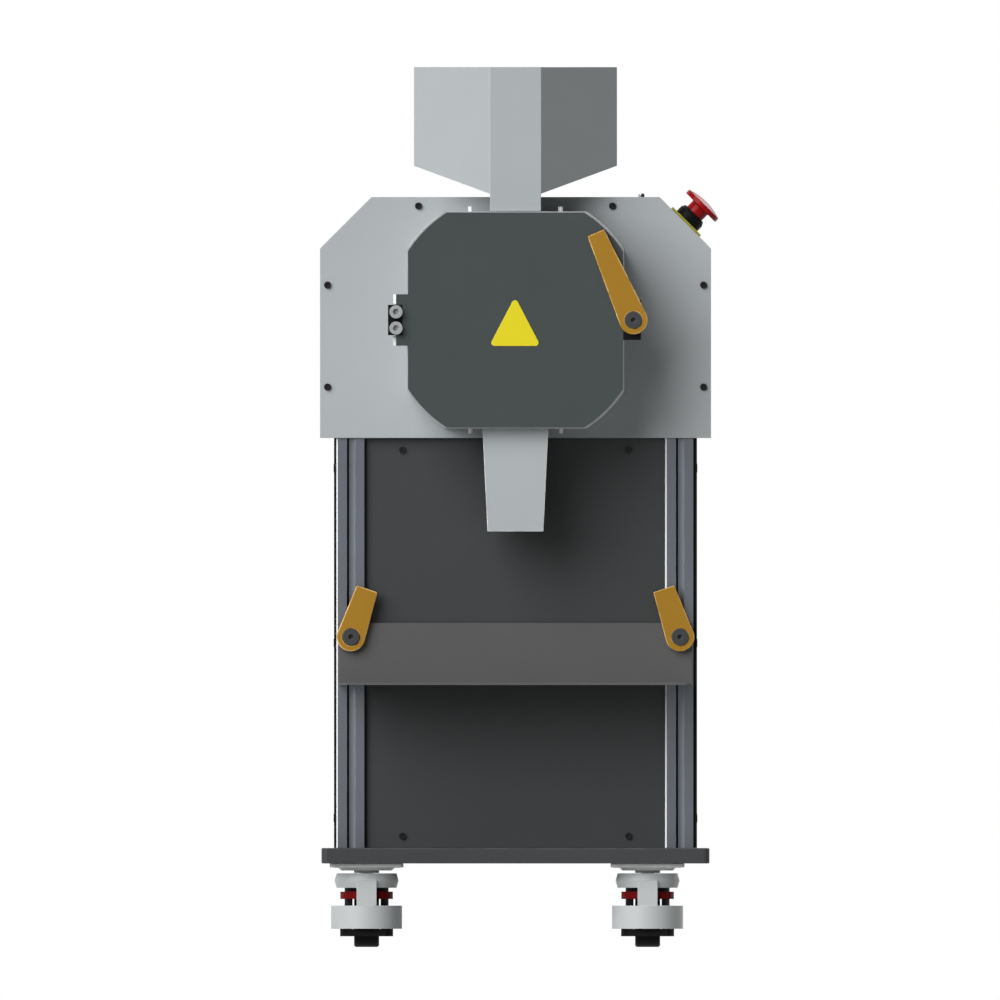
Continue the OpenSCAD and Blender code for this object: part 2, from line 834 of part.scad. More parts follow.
keeper_h = 40;
keeper_reach = 16.7;
keeper_d = 26;
keeper_slack = 1.2;
keeper_hole_r = stud_r + keeper_slack;
stud_reach = 8;
module latch_place() {
    translate([latch_x, 0, axis_z]) children();
}

module latch_lever() {
    color(lever_yellow) latch_place() rotate([0, -latch_lean, 0])
        lever(door_y - seat, latch_l, latch_tip_w);
}

module latch_stud() {
    color(frame_grey) latch_place() rotate([0, -latch_lean, 0])
        lever_stud(door_y - seat, door_back_y + stud_reach);
}

module latch_keeper() {
    low = chamber_w / 2 + seat;
    color(black) difference() {
        block([low, chamber_y, axis_z - keeper_h / 2],
            [low + keeper_reach, chamber_y + keeper_d, axis_z + keeper_h / 2]);
        bar_y(latch_x, axis_z, keeper_hole_r, chamber_y - over, chamber_y + 2 * stud_reach);
    }
}

// Black screws of the front plate and of the front panel
screw_hex_r = 1.6;
screw_hex_h = 1.4;
module plate_screw(x, y, z) {
    translate([x, y, z]) rotate([90, 0, 0]) difference() {
        cylinder(d = screw_d, h = screw_h, $fn = 32);
        translate([0, 0, screw_h - screw_hex_h])
            cylinder(r = screw_hex_r, h = screw_hex_h + over, $fn = 6);
    }
}

top_screw_drop = 9;
module plate_screws() {
    side_x = housing_w / 2 - side_screw_inset;
    color(black) for (side = [-1, 1]) {
        plate_screw(side * top_screw_span / 2, face_y, top_z - top_screw_drop);
        for (row = [0, 1])
            plate_screw(side * side_x, face_y, deck_z + side_screw_low + row * side_screw_pitch);
        for (z = [base_top + rail_w / 2, deck_z - rail_w / 2])
            plate_screw(side * panel_screw_span / 2, panel_y, z);
    }
}

// Shelf: a bent sheet clamped to the front slots of the columns
shelf_y = column_y - seat;
shelf_front_y = column_y - shelf_reach;
shelf_corner_r = 8;
stud_slack = 0.2;
module shelf() {
    color(frame_grey) difference() {
        union() {
            block([-shelf_w / 2, shelf_y - shelf_t, shelf_z - shelf_t],
                [shelf_w / 2, shelf_y, shelf_z - shelf_t + shelf_flange_h]);
            translate([0, 0, shelf_z - shelf_t]) linear_extrude(shelf_t) {
                translate([-shelf_w / 2, shelf_front_y + shelf_corner_r])
                    square([shelf_w, shelf_y - shelf_front_y - shelf_corner_r]);
                translate([-shelf_w / 2 + shelf_corner_r, shelf_front_y])
                    square([shelf_w - 2 * shelf_corner_r, shelf_y - shelf_front_y]);
                for (side = [-1, 1])
                    translate([side * (shelf_w / 2 - shelf_corner_r), shelf_front_y + shelf_corner_r])
                        circle(shelf_corner_r);
            }
        }
        both_sides()
            bar_y(column_x, clamp_z, stud_r + stud_slack, shelf_y - shelf_t - over, shelf_y + over);
    }
}

nut_w = 13;
nut_h = 3;
nut_y = column_y + slot_lip + seat;
module slot_nuts() {
    color(steel) both_sides() difference() {
        block([column_x - nut_w / 2, nut_y, clamp_z - nut_w / 2],
            [column_x + nut_w / 2, nut_y + nut_h, clamp_z + nut_w / 2]);
        bar_y(column_x, clamp_z, stud_r + running, nut_y - over, nut_y + nut_h + over);
    }
}

lever_back_y = shelf_y - shelf_t - seat;
module clamp_place(side) {
    translate([side * column_x, 0, clamp_z]) rotate([0, -side * clamp_lean, 0]) children();
}

module clamp_lever(side) {
    color(lever_yellow) clamp_place(side) lever(lever_back_y, clamp_l, clamp_tip_w);
}

module clamp_stud(side) {
    color(frame_grey) clamp_place(side) lever_stud(lever_back_y, nut_y + nut_h + over);
}

module shelf_lever_left() { clamp_lever(-1); }
module shelf_stud_left() { clamp_stud(-1); }
module shelf_lever_right() { clamp_lever(1); }
module shelf_stud_right() { clamp_stud(1); }

// Emergency stop on the right-hand chamfer
estop_travel = 5;
collar_h = 10.5;
collar_foot = 6.5;
collar_neck_gap = 0.6;
collar_lip = 2;
head_back = 8.3;
rim_h = 5;
module estop_plate() {
    color(lever_yellow) on_chamfer() difference() {
        translate([0, 0, estop_plate_t / 2])
            cube([estop_plate_w, estop_plate_w, estop_plate_t], center = true);
        translate([0, 0, -over]) cylinder(r = estop_hole_r, h = estop_plate_t + 2 * over);
    }
}

module estop_collar() {
    color(black) on_chamfer() translate([0, 0, estop_plate_t]) difference() {
        union() {
            cylinder(r = estop_collar_r, h = collar_foot);
            translate([0, 0, collar_foot])
                cylinder(r1 = estop_collar_r, r2 = estop_neck_r + collar_lip, h = collar_h - collar_foot);
        }
        translate([0, 0, -over])
            cylinder(r = estop_neck_r + collar_neck_gap, h = collar_h + 2 * over);
    }
}

module estop_button() {
    head_z = estop_h - head_back;
    rim_z = head_z + rim_h;
    crown = estop_h - rim_z;
    crown_r = (estop_head_r * estop_head_r + crown * crown) / (2 * crown);
    color(stop_red) on_chamfer() {
        translate([0, 0, estop_travel + over])
            cylinder(r = estop_neck_r, h = rim_z - estop_travel - over);
        translate([0, 0, head_z]) cylinder(r = estop_head_r, h = rim_h);
        intersection() {
            translate([0, 0, rim_z - over]) cylinder(r = estop_head_r, h = crown + 2 * over);
            translate([0, 0, estop_h - crown_r]) sphere(crown_r, $fn = 96);
        }
    }
}

// Rotary main switch and cable gland on the rear sheet
switch_plate_w = 48;
switch_plate_t = 3;
switch_knob_r = 15;
switch_knob_h = 12;
grip_w = 9;
grip_h = 12;
module switch_plate() {
    z = deck_z + switch_rise;
    color(black) difference() {
        block([switch_x - switch_plate_w / 2, rear_y, z - switch_plate_w / 2],
            [switch_x + switch_plate_w / 2, rear_y + switch_plate_t, z + switch_plate_w / 2]);
        bar_y(switch_x, z, switch_neck_r, rear_y - over, rear_y + switch_plate_t + over);
    }
}

module main_switch_knob() {
    z = deck_z + switch_rise;
    y = rear_y + switch_plate_t + seat;
    color(stop_red) {
        bar_y(switch_x, z, switch_knob_r, y, y + switch_knob_h);
        bar_y(switch_x, z, switch_neck_r - running, rear_y - shell_t, y + over);
        block([switch_x - grip_w / 2, y, z - switch_knob_r * 0.95],
            [switch_x + grip_w / 2, y + switch_knob_h + grip_h, z + switch_knob_r * 0.95]);
    }
}

gland_nut_r = 13;
gland_nut_h = 6;
gland_dome_r = 10;
gland_dome_h = 12;
gland_bore_r = 4.5;
module cable_gland() {
    z = deck_z + gland_rise;
    color(black) difference() {
        union() {
            bar_y(gland_x, z, gland_r, rear_y - 2 * gland_nut_h, rear_y + over);
            translate([gland_x, rear_y, z]) rotate([-90, 0, 0])
                cylinder(r = gland_nut_r, h = gland_nut_h, $fn = 6);
            bar_y(gland_x, z, gland_dome_r, rear_y, rear_y + gland_nut_h + gland_dome_h);
        }
        bar_y(gland_x, z, gland_bore_r, rear_y - 3 * gland_nut_h, rear_y + 2 * gland_nut_h + gland_dome_h);
    }
}

// Casters: plate, swivelling fork with its drum, wheel, levelling foot and thumbwheel
module caster_place(side, end) {
    translate([side * caster_span_x / 2 - caster_shift, end * caster_span_y / 2, 0]) children();
}

race_t = 3;
race_top_r = 28.5;
race_low_r = 25.5;
kingpin_r = 12.5;
kingpin_h = 2.8;
ring_h = 14.5;
race_z = caster_h - caster_plate_t - race_t;
ring_top_z = race_z - kingpin_h;
ring_z = ring_top_z - ring_h;
ring_r = 32;
ring_edge = 2;
core_r = 22;
arm_w = 20;
arm_t = 6;
arm_in_r = 28;
arm_top_drop = 7;
drum_wall = 2.8;
drum_top_z = drum_low + drum_h;
pin_r = 6;
pin_l = 10;
pocket_gap = 1.5;
boss_r = wheel_r - drum_low - seat;
plate_r = 5;
module caster_plates() {
    color(steel) for (side = [-1, 1], end = [-1, 1]) caster_place(side, end) {
        translate([0, 0, caster_h - caster_plate_t]) linear_extrude(caster_plate_t)
            rounded_square(caster_plate_w, caster_plate_w, plate_r);
        translate([0, 0, race_z]) cylinder(r1 = race_low_r, r2 = race_top_r, h = race_t);
        translate([0, 0, ring_top_z + seat]) cylinder(r = kingpin_r, h = kingpin_h);
        translate([0, 0, ring_top_z - pin_l]) cylinder(r = pin_r, h = pin_l + kingpin_h);
    }
}

module wheel_pocket(top) {
    block([-wheel_w / 2 - pocket_gap, wheel_trail - wheel_r - pocket_gap, 0],
        [wheel_w / 2 + pocket_gap, wheel_trail + wheel_r + pocket_gap, top]);
}

module caster_fork() {
    inner_r = drum_r - drum_wall;
    axle_l = 2 * sqrt(inner_r * inner_r - wheel_trail * wheel_trail) + drum_wall;
    color(plate_grey) {
        difference() {
            union() {
                translate([0, 0, ring_z]) rotate_extrude() polygon([[0, 0], [ring_r - ring_edge, 0],
                    [ring_r, ring_h / 2], [ring_r - ring_edge, ring_h], [0, ring_h]]);
                translate([0, 0, drum_top_z - drum_wall])
                    cylinder(r = core_r, h = ring_z - drum_top_z + 2 * drum_wall);
                translate([0, 0, drum_low]) cylinder(r = drum_r, h = drum_h);
                for (turn = [0, 180]) rotate(turn)
                    block([-arm_w / 2, -arm_in_r - arm_t, drum_top_z - drum_wall],
                        [arm_w / 2, -arm_in_r, ring_top_z - arm_top_drop]);
            }
            translate([0, 0, drum_low - over]) cylinder(r = inner_r, h = drum_h - drum_wall + over);
            wheel_pocket(2 * wheel_r + pocket_gap);
            translate([0, 0, ring_top_z - pin_l - seat]) cylinder(r = pin_r + running, h = pin_l + over);
        }
        translate([-axle_l / 2, wheel_trail, wheel_r]) rotate([0, 90, 0]) {
            cylinder(r = axle_r, h = axle_l);
            for (low = [0, axle_l / 2 + wheel_w / 2 + pocket_gap / 2]) translate([0, 0, low])
                cylinder(r = boss_r, h = axle_l / 2 - wheel_w / 2 - pocket_gap / 2);
        }
    }
}

tread_edge = 1.5;
hub_recess = 3;
hub_recess_r = 16;
wheel_hub_r = 9;
module caster_wheel() {
    color(black) translate([0, wheel_trail, wheel_r]) rotate([0, 90, 0]) rotate_extrude() polygon([
        [axle_r + running, -wheel_w / 2], [wheel_hub_r, -wheel_w / 2],
        [hub_recess_r, -wheel_w / 2 + hub_recess], [wheel_r - 2 * hub_recess, -wheel_w / 2 + hub_recess],
        [wheel_r - 2 * hub_recess, -wheel_w / 2], [wheel_r - tread_edge, -wheel_w / 2],
        [wheel_r, -wheel_w / 2 + tread_edge], [wheel_r, wheel_w / 2 - tread_edge],
        [wheel_r - tread_edge, wheel_w / 2], [wheel_r - 2 * hub_recess, wheel_w / 2],
        [wheel_r - 2 * hub_recess, wheel_w / 2 - hub_recess], [hub_recess_r, wheel_w / 2 - hub_recess],
        [wheel_hub_r, wheel_w / 2], [axle_r + running, wheel_w / 2]]);
}

leg_w = 8;
leg_t = 4;
leg_set = 13;
toe_t = 6;
module caster_foot() {
    leg_x = wheel_w / 2 + 2 * pocket_gap;
    wheel_front = wheel_trail - wheel_r - pocket_gap;
    foot_z = drum_low - foot_t;
    leg_h = drum_top_z - drum_wall - seat - foot_z;
    color(black) {
        difference() {
            union() {
                translate([0, 0, foot_z]) cylinder(r = foot_r, h = foot_t);
                block([-leg_x - leg_t, wheel_front - toe_t, foot_z],
                    [leg_x + leg_t, wheel_front + toe_t, drum_low - seat]);
            }
            wheel_pocket(drum_top_z);
        }
        both_sides() translate([leg_x, -leg_set - leg_w / 2, foot_z]) cube([leg_t, leg_w, leg_h]);
    }
}

thumb_z = 48;
notch_count = 16;
notch_r = 1.6;
module caster_thumbwheel() {
    color(stop_red) translate([0, 0, thumb_z]) difference() {
        cylinder(r = thumb_r, h = thumb_h);
        translate([0, 0, -over]) cylinder(r = core_r + running, h = thumb_h + 2 * over);
        for (notch = [0:notch_count - 1]) rotate(360 / notch_count * (notch + 0.5))
            translate([thumb_r + notch_r / 2, 0, -over])
                cylinder(r = notch_r, h = thumb_h + 2 * over, $fn = 16);
    }
}

module fork_front_left() { caster_place(-1, -1) caster_fork(); }
module fork_front_right() { caster_place(1, -1) caster_fork(); }
module fork_rear_left() { caster_place(-1, 1) caster_fork(); }
module fork_rear_right() { caster_place(1, 1) caster_fork(); }
module wheel_front_left() { caster_place(-1, -1) caster_wheel(); }
module wheel_front_right() { caster_place(1, -1) caster_wheel(); }
module wheel_rear_left() { caster_place(-1, 1) caster_wheel(); }
module wheel_rear_right() { caster_place(1, 1) caster_wheel(); }
module foot_front_left() { caster_place(-1, -1) caster_foot(); }
module foot_front_right() { caster_place(1, -1) caster_foot(); }
module foot_rear_left() { caster_place(-1, 1) caster_foot(); }
module foot_rear_right() { caster_place(1, 1) caster_foot(); }
module thumbwheel_front_left() { caster_place(-1, -1) caster_thumbwheel(); }
module thumbwheel_front_right() { caster_place(1, -1) caster_thumbwheel(); }
module thumbwheel_rear_left() { caster_place(-1, 1) caster_thumbwheel(); }
module thumbwheel_rear_right() { caster_place(1, 1) caster_thumbwheel(); }

base_plate();
front_columns();
rear_columns();
cross_rails();
deck_plate();
front_panel();
side_panels();
rear_lower_panel();
front_plate();
housing_shell();
rear_panel();
cutting_chamber();
stator_knives();
screen();
hopper();
chute();
hinge_bracket();
hinge_pin();
latch_keeper();
bearings();
drive_motor();
plate_screws();
chamber_screws();
estop_plate();
estop_collar();
switch_plate();
cable_gland();
caster_plates();
door();
hinge_knuckle();
hinge_screws();
latch_lever();
latch_stud();
rotor_shaft();
rotor_core();
rotor_knives();
shelf();
slot_nuts();
shelf_lever_left();
shelf_stud_left();
shelf_lever_right();
shelf_stud_right();
estop_button();
main_switch_knob();
fork_front_left();
fork_front_right();
fork_rear_left();
fork_rear_right();
wheel_front_left();
wheel_front_right();
wheel_rear_left();
wheel_rear_right();
foot_front_left();
foot_front_right();
foot_rear_left();
foot_rear_right();
thumbwheel_front_left();
thumbwheel_front_right();
thumbwheel_rear_left();
thumbwheel_rear_right();
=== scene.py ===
"""Looks of a floor-standing plastic granulator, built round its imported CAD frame.

Every CAD node gets a finished piece that stands in for it: a copy with rounded edges, or a turned
head for the stop button. Small pieces are added: the bare yellow plate on the door, the screws of
the sides, the rear and the top, and the bolts of the casters. All lengths are in metres.
"""
import json
import math

import bmesh
import bpy
from mathutils import Matrix, Vector


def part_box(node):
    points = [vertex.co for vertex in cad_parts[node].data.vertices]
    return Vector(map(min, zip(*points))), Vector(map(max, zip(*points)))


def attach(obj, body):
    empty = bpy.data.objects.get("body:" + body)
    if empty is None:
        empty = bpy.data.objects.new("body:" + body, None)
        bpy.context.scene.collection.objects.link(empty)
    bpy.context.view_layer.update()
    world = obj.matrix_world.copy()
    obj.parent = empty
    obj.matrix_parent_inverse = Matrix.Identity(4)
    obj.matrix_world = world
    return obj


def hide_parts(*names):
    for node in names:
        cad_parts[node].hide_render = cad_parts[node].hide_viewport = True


bl_info = {
    "name": "Plastic granulator",
    "version": (1, 0, 0),
    "blender": (4, 5, 0),
    "location": "View3D > Sidebar > Granulator",
    "description": "Builds the finishes and small pieces of a plastic granulator on its CAD frame",
    "category": "Object",
}

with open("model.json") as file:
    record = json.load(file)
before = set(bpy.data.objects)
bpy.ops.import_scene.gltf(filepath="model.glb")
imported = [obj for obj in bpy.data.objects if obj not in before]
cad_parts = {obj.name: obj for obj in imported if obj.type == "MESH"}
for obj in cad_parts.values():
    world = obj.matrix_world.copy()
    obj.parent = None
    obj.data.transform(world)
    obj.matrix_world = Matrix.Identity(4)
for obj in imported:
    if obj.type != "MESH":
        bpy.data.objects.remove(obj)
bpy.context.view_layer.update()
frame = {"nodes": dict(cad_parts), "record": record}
NODES = frame["nodes"]
RECORD = frame["record"]
BODY_OF = {node: body for body, nodes in RECORD["behaviour"]["bodies"].items() for node in nodes}
SLOT_OF = {part["node"]: part["material_slot"] for part in RECORD["subparts"]}
CORNERS = ("front_left", "front_right", "rear_left", "rear_right")

# How the CAD meshes are cleaned, cut and rounded
MERGE_GAP = 0.000002
CUT_GAP = 0.000001
FLAT_ANGLE = math.radians(0.6)
SHARP_ANGLE = math.radians(36)
LARGE_FACE_WEIGHT = 80
ALONG_X, ALONG_Z = (1, 0, 0), (0, 0, 1)

# What all finishes share: shades are factors on the base colour, shares are how much is mixed in
SPECKLE_SHADE, SPECKLE_SHARE = 0.7, 2
LINE_SHADE, LINE_COLOUR_SHARE = 1.3, 0.3
LINE_ROUGHNESS, LINE_ROUGHNESS_SHARE = 0.06, 0.4
EDGE_SHADE = 1.6
DUST_COLOUR, DUST_ROUGHNESS = (0.42, 0.42, 0.40), 0.8
COAT_ROUGHNESS = 0.12
ROUGHNESS_SPREAD = 0.02
RELIEF_STRENGTH = 0.35

# The stage: the floor's grey and its glow for the camera, and the lamps' place, strength and spread
FLOOR_REACH = 6.0
FLOOR_GREY, FLOOR_ROUGHNESS, FLOOR_GLOW = 0.38, 0.9, 0.72
SKY_SEEN, SKY_LIT = 1.0, 0.03
LAMPS = {
    "key": ((-2.1, -2.75, 2.3), 3.8, 52),
    "rear_fill": ((2.2, 3.0, 2.6), 1.5, 40),
}
LAMP_TARGET = Vector((0, 0, 0.45))
PICTURE_WIDTH = 1.0
PICTURE_MIDDLE_X, PICTURE_MIDDLE_Z = -0.0155, 0.447
CAMERA_DISTANCE, CAMERA_REACH = 3.0, 20


class GranulatorColours(bpy.types.PropertyGroup):
    """Colours of the machine's finishes."""

    light_grey: bpy.props.FloatVectorProperty(
        name="Light grey", description="Coating of hopper, housing and chute",
        subtype="COLOR", size=3, min=0, max=1, default=(0.385, 0.41, 0.42))
    dark_grey: bpy.props.FloatVectorProperty(
        name="Dark grey", description="Coating of base plate and lower panels",
        subtype="COLOR", size=3, min=0, max=1, default=(0.036, 0.0385, 0.0395))
    door_grey: bpy.props.FloatVectorProperty(
        name="Door grey", description="Coating of the door",
        subtype="COLOR", size=3, min=0, max=1, default=(0.040, 0.049, 0.049))
    lever_ochre: bpy.props.FloatVectorProperty(
        name="Lever ochre", description="Coating of the three clamping levers",
        subtype="COLOR", size=3, min=0, max=1, default=(0.325, 0.168, 0.012))
    profile_blue: bpy.props.FloatVectorProperty(
        name="Profile blue-grey", description="Anodised surface of the columns",
        subtype="COLOR", size=3, min=0, max=1, default=(0.107, 0.118, 0.134))
    plate_yellow: bpy.props.FloatVectorProperty(
        name="Plate yellow", description="Bare plate on the door",
        subtype="COLOR", size=3, min=0, max=1, default=(0.72, 0.61, 0.008))
    stop_red: bpy.props.FloatVectorProperty(
        name="Stop red", description="Emergency stop and main switch",
        subtype="COLOR", size=3, min=0, max=1, default=(0.30, 0.003, 0.005))
    thumb_red: bpy.props.FloatVectorProperty(
        name="Thumbwheel red", description="Thumbwheels of the levelling casters",
        subtype="COLOR", size=3, min=0, max=1, default=(0.13, 0.003, 0.004))
    shelf_grey: bpy.props.FloatVectorProperty(
        name="Shelf grey", description="Coating of the shelf",
        subtype="COLOR", size=3, min=0, max=1, default=(0.074, 0.074, 0.074))


class GranulatorSizes(bpy.types.PropertyGroup):
    """Sizes of the added pieces and of the rounded edges."""

    edge_round: bpy.props.FloatProperty(
        name="Edge rounding", description="Radius on machined and cast edges",
        subtype="DISTANCE", unit="LENGTH", min=0.0001, max=0.002, default=0.0006)
    sheet_round: bpy.props.FloatProperty(
        name="Sheet rounding", description="Radius on the edges of sheet metal",
        subtype="DISTANCE", unit="LENGTH", min=0.0001, max=0.001, default=0.0004)
    plate_side: bpy.props.FloatProperty(
        name="Plate side", description="Width of the yellow plate on the door",
        subtype="DISTANCE", unit="LENGTH", min=0.03, max=0.08, default=0.0515)
    plate_height: bpy.props.FloatProperty(
        name="Plate height", description="Height of the yellow plate on the door",
        subtype="DISTANCE", unit="LENGTH", min=0.03, max=0.08, default=0.0495)
    caster_bolt: bpy.props.FloatProperty(
        name="Caster bolt", description="Width of the bolt heads under the caster plates",
        subtype="DISTANCE", unit="LENGTH", min=0.006, max=0.014, default=0.010)


# Shader groups that several finishes share


def new_group(name, inputs, outputs):
    """An empty shader group with float inputs and float outputs."""
    tree = bpy.data.node_groups.new(name, "ShaderNodeTree")
    for label, value in inputs:
        socket = tree.interface.new_socket(label, in_out="INPUT", socket_type="NodeSocketFloat")
        socket.default_value = value
    for label in outputs:
        tree.interface.new_socket(label, in_out="OUTPUT", socket_type="NodeSocketFloat")
    return tree, tree.nodes.new("NodeGroupInput"), tree.nodes.new("NodeGroupOutput")


def join(tree, source, target):
    """Links the output socket source to the input socket target."""
    tree.links.new(source, target)


def ramp(tree, source, low, high):
    """A map range node that takes source from low..high to 0..1, smoothly."""
    node = tree.nodes.new("ShaderNodeMapRange")
    node.interpolation_type = "SMOOTHSTEP"
    node.inputs["From Min"].default_value = low
    node.inputs["From Max"].default_value = high
    join(tree, source, node.inputs["Value"])
    return node.outputs["Result"]


def times(tree, first, second):
    """A multiply node of two sockets, or of a socket and a number."""
    node = tree.nodes.new("ShaderNodeMath")
    node.operation = "MULTIPLY"
    join(tree, first, node.inputs[0])
    if isinstance(second, (int, float)):
        node.inputs[1].default_value = second
    else:
        join(tree, second, node.inputs[1])
    return node.outputs[0]


def noise(tree, vector, scale, detail=3.0, roughness=0.55):
    """A noise texture on vector, its scale a number or a socket."""
    node = tree.nodes.new("ShaderNodeTexNoise")
    node.inputs["Detail"].default_value = detail
    node.inputs["Roughness"].default_value = roughness
    join(tree, vector, node.inputs["Vector"])
    if isinstance(scale, (int, float)):
        node.inputs["Scale"].default_value = scale
    else:
        join(tree, scale, node.inputs["Scale"])
    return node.outputs["Fac"]


def object_place(tree):
    """The object coordinates of the surface."""
    return tree.nodes.new("ShaderNodeTexCoord").outputs["Object"]


def grain_group():
    """Fine texture of a coating or a casting, with slow blotches of tone."""
    tree, inside, outside = new_group(
        "Surface grain", [("Scale", 900.0), ("Blotch Scale", 9.0)], ["Height", "Tone", "Speckle"])
    place = object_place(tree)
    fine = noise(tree, place, inside.outputs["Scale"], 2.0)
    join(tree, fine, outside.inputs["Height"])
    join(tree, ramp(tree, noise(tree, place, inside.outputs["Blotch Scale"], 4.0), 0.32, 0.70),
         outside.inputs["Tone"])
    join(tree, ramp(tree, fine, 0.60, 0.78), outside.inputs["Speckle"])
    return tree


def wear_and_highlight_group():
    """Edge marks on the faces of the rounded edges, broken up by noise: wear, and in a few finishes a
    painted highlight.
    """
    tree, inside, outside = new_group("Edge wear and highlight", [("Amount", 0.5), ("Scale", 60.0)], ["Mask"])
    place = object_place(tree)
    rounded = tree.nodes.new("ShaderNodeAttribute")
    rounded.attribute_name = "rounded"
    broken = ramp(tree, noise(tree, place, inside.outputs["Scale"], 5.0, 0.7), 0.35, 0.62)
    edge_wear_and_highlight = times(tree, rounded.outputs["Fac"], broken)
    join(tree, times(tree, edge_wear_and_highlight, inside.outputs["Amount"]), outside.inputs["Mask"])
    return tree


def dust_group():
    """Fine plastic dust that settles on faces turned upwards."""
    tree, inside, outside = new_group("Settled dust", [("Amount", 0.3), ("Scale", 25.0)], ["Mask"])
    place = object_place(tree)
    split = tree.nodes.new("ShaderNodeSeparateXYZ")
    join(tree, tree.nodes.new("ShaderNodeNewGeometry").outputs["Normal"], split.inputs[0])
    up = ramp(tree, split.outputs["Z"], 0.35, 0.98)
    cloud = ramp(tree, noise(tree, place, inside.outputs["Scale"], 6.0, 0.65), 0.30, 0.72)
    settled = times(tree, up, cloud)
    join(tree, times(tree, settled, inside.outputs["Amount"]), outside.inputs["Mask"])
    return tree


def brushed_group():
    """Long fine lines along one axis, as on drawn profile or ground steel."""
    across = [("Across X", 1.0), ("Across Y", 1.0), ("Across Z", 0.02)]
    tree, inside, outside = new_group(
        "Brushed lines", across + [("Scale", 1400.0)], ["Height", "Tone"])
    place = object_place(tree)
    stretch = tree.nodes.new("ShaderNodeCombineXYZ")
    for axis in "XYZ":
        join(tree, inside.outputs["Across " + axis], stretch.inputs[axis])
    scaled = tree.nodes.new("ShaderNodeVectorMath")
    scaled.operation = "MULTIPLY"
    join(tree, place, scaled.inputs[0])
    join(tree, stretch.outputs[0], scaled.inputs[1])
    lines = noise(tree, scaled.outputs[0], inside.outputs["Scale"], 3.0)
    join(tree, lines, outside.inputs["Height"])
    join(tree, ramp(tree, lines, 0.30, 0.72), outside.inputs["Tone"])
    return tree


GROUPS = {}


def place_group(tree, name, **values):
    """Puts one of the shared groups in a material with its own values."""
    node = tree.nodes.new("ShaderNodeGroup")
    node.node_tree = GROUPS[name]
    for label, value in values.items():
        node.inputs[label.replace("_", " ")].default_value = value
    return node


def blend_colour(tree, mask, first, second):
    """Mixes two colours, or a colour socket and a colour, by a mask."""
    node = tree.nodes.new("ShaderNodeMix")
    node.data_type = "RGBA"
    join(tree, mask, node.inputs["Factor"])
    for label, colour in (("A", first), ("B", second)):
        socket = [s for s in node.inputs if s.name == label and s.type == "RGBA"][0]
        if isinstance(colour, bpy.types.NodeSocket):
            join(tree, colour, socket)
        else:
            socket.default_value = (*colour, 1.0)
    return [s for s in node.outputs if s.type == "RGBA"][0]


def blend_value(tree, mask, first, second):
    """Mixes two numbers, or a value socket and a number, by a mask."""
    node = tree.nodes.new("ShaderNodeMix")
    node.data_type = "FLOAT"
    join(tree, mask, node.inputs[0])
    for index, value in ((2, first), (3, second)):
        if isinstance(value, bpy.types.NodeSocket):
            join(tree, value, node.inputs[index])
        else:
            node.inputs[index].default_value = value
    return node.outputs[0]


def shade(colour, factor):
    """A colour made lighter or darker."""
    return tuple(min(1.0, c * factor) for c in colour)


def finish(name, colour, roughness, metallic=0.0, grain=900.0, bump=0.00004, tone=0.02,
           wear_and_highlight=0.3, wear_and_highlight_colour=None, dust=0.15, coat=0.0, lines=None, specular=0.3):
    """A procedural material: a base colour with blotches, worn edges (in a few finishes a painted
    highlight instead), dust and fine relief.
    """
    material = bpy.data.materials.new(name)
    material.use_nodes = True
    tree = material.node_tree
    shader = tree.nodes["Principled BSDF"]
    shader.inputs["Metallic"].default_value = metallic
    shader.inputs["Specular IOR Level"].default_value = specular
    shader.inputs["Coat Weight"].default_value = coat
    shader.inputs["Coat Roughness"].default_value = COAT_ROUGHNESS
    texture = place_group(tree, "Surface grain", Scale=grain)
    edge_wear_and_highlight = place_group(tree, "Edge wear and highlight", Amount=wear_and_highlight)
    dusty = place_group(tree, "Settled dust", Amount=dust)
    blotches, height = texture.outputs["Tone"], texture.outputs["Height"]
    base = blend_colour(tree, blotches, shade(colour, 1 - tone), shade(colour, 1 + tone))
    speckles = times(tree, texture.outputs["Speckle"], tone * SPECKLE_SHARE)
    base = blend_colour(tree, speckles, base, shade(colour, SPECKLE_SHADE))
    rough = blend_value(tree, blotches, roughness - ROUGHNESS_SPREAD, roughness + ROUGHNESS_SPREAD)
    if lines:
        across_x, across_y, across_z = lines
        drawn = place_group(tree, "Brushed lines", Across_X=across_x, Across_Y=across_y,
                            Across_Z=across_z)
        lit = times(tree, drawn.outputs["Tone"], LINE_COLOUR_SHARE)
        base = blend_colour(tree, lit, base, shade(colour, LINE_SHADE))
        dull = times(tree, drawn.outputs["Tone"], LINE_ROUGHNESS_SHARE)
        rough = blend_value(tree, dull, rough, roughness + LINE_ROUGHNESS)
        height = drawn.outputs["Height"]
    edge_colour = wear_and_highlight_colour or shade(colour, EDGE_SHADE)
    base = blend_colour(tree, edge_wear_and_highlight.outputs["Mask"], base, edge_colour)
    base = blend_colour(tree, dusty.outputs["Mask"], base, DUST_COLOUR)
    rough = blend_value(tree, dusty.outputs["Mask"], rough, DUST_ROUGHNESS)
    join(tree, base, shader.inputs["Base Color"])
    join(tree, rough, shader.inputs["Roughness"])
    relief = tree.nodes.new("ShaderNodeBump")
    relief.inputs["Strength"].default_value = RELIEF_STRENGTH
    relief.inputs["Distance"].default_value = bump
    join(tree, height, relief.inputs["Height"])
    join(tree, relief.outputs["Normal"], shader.inputs["Normal"])
    return material


MATERIALS = {}


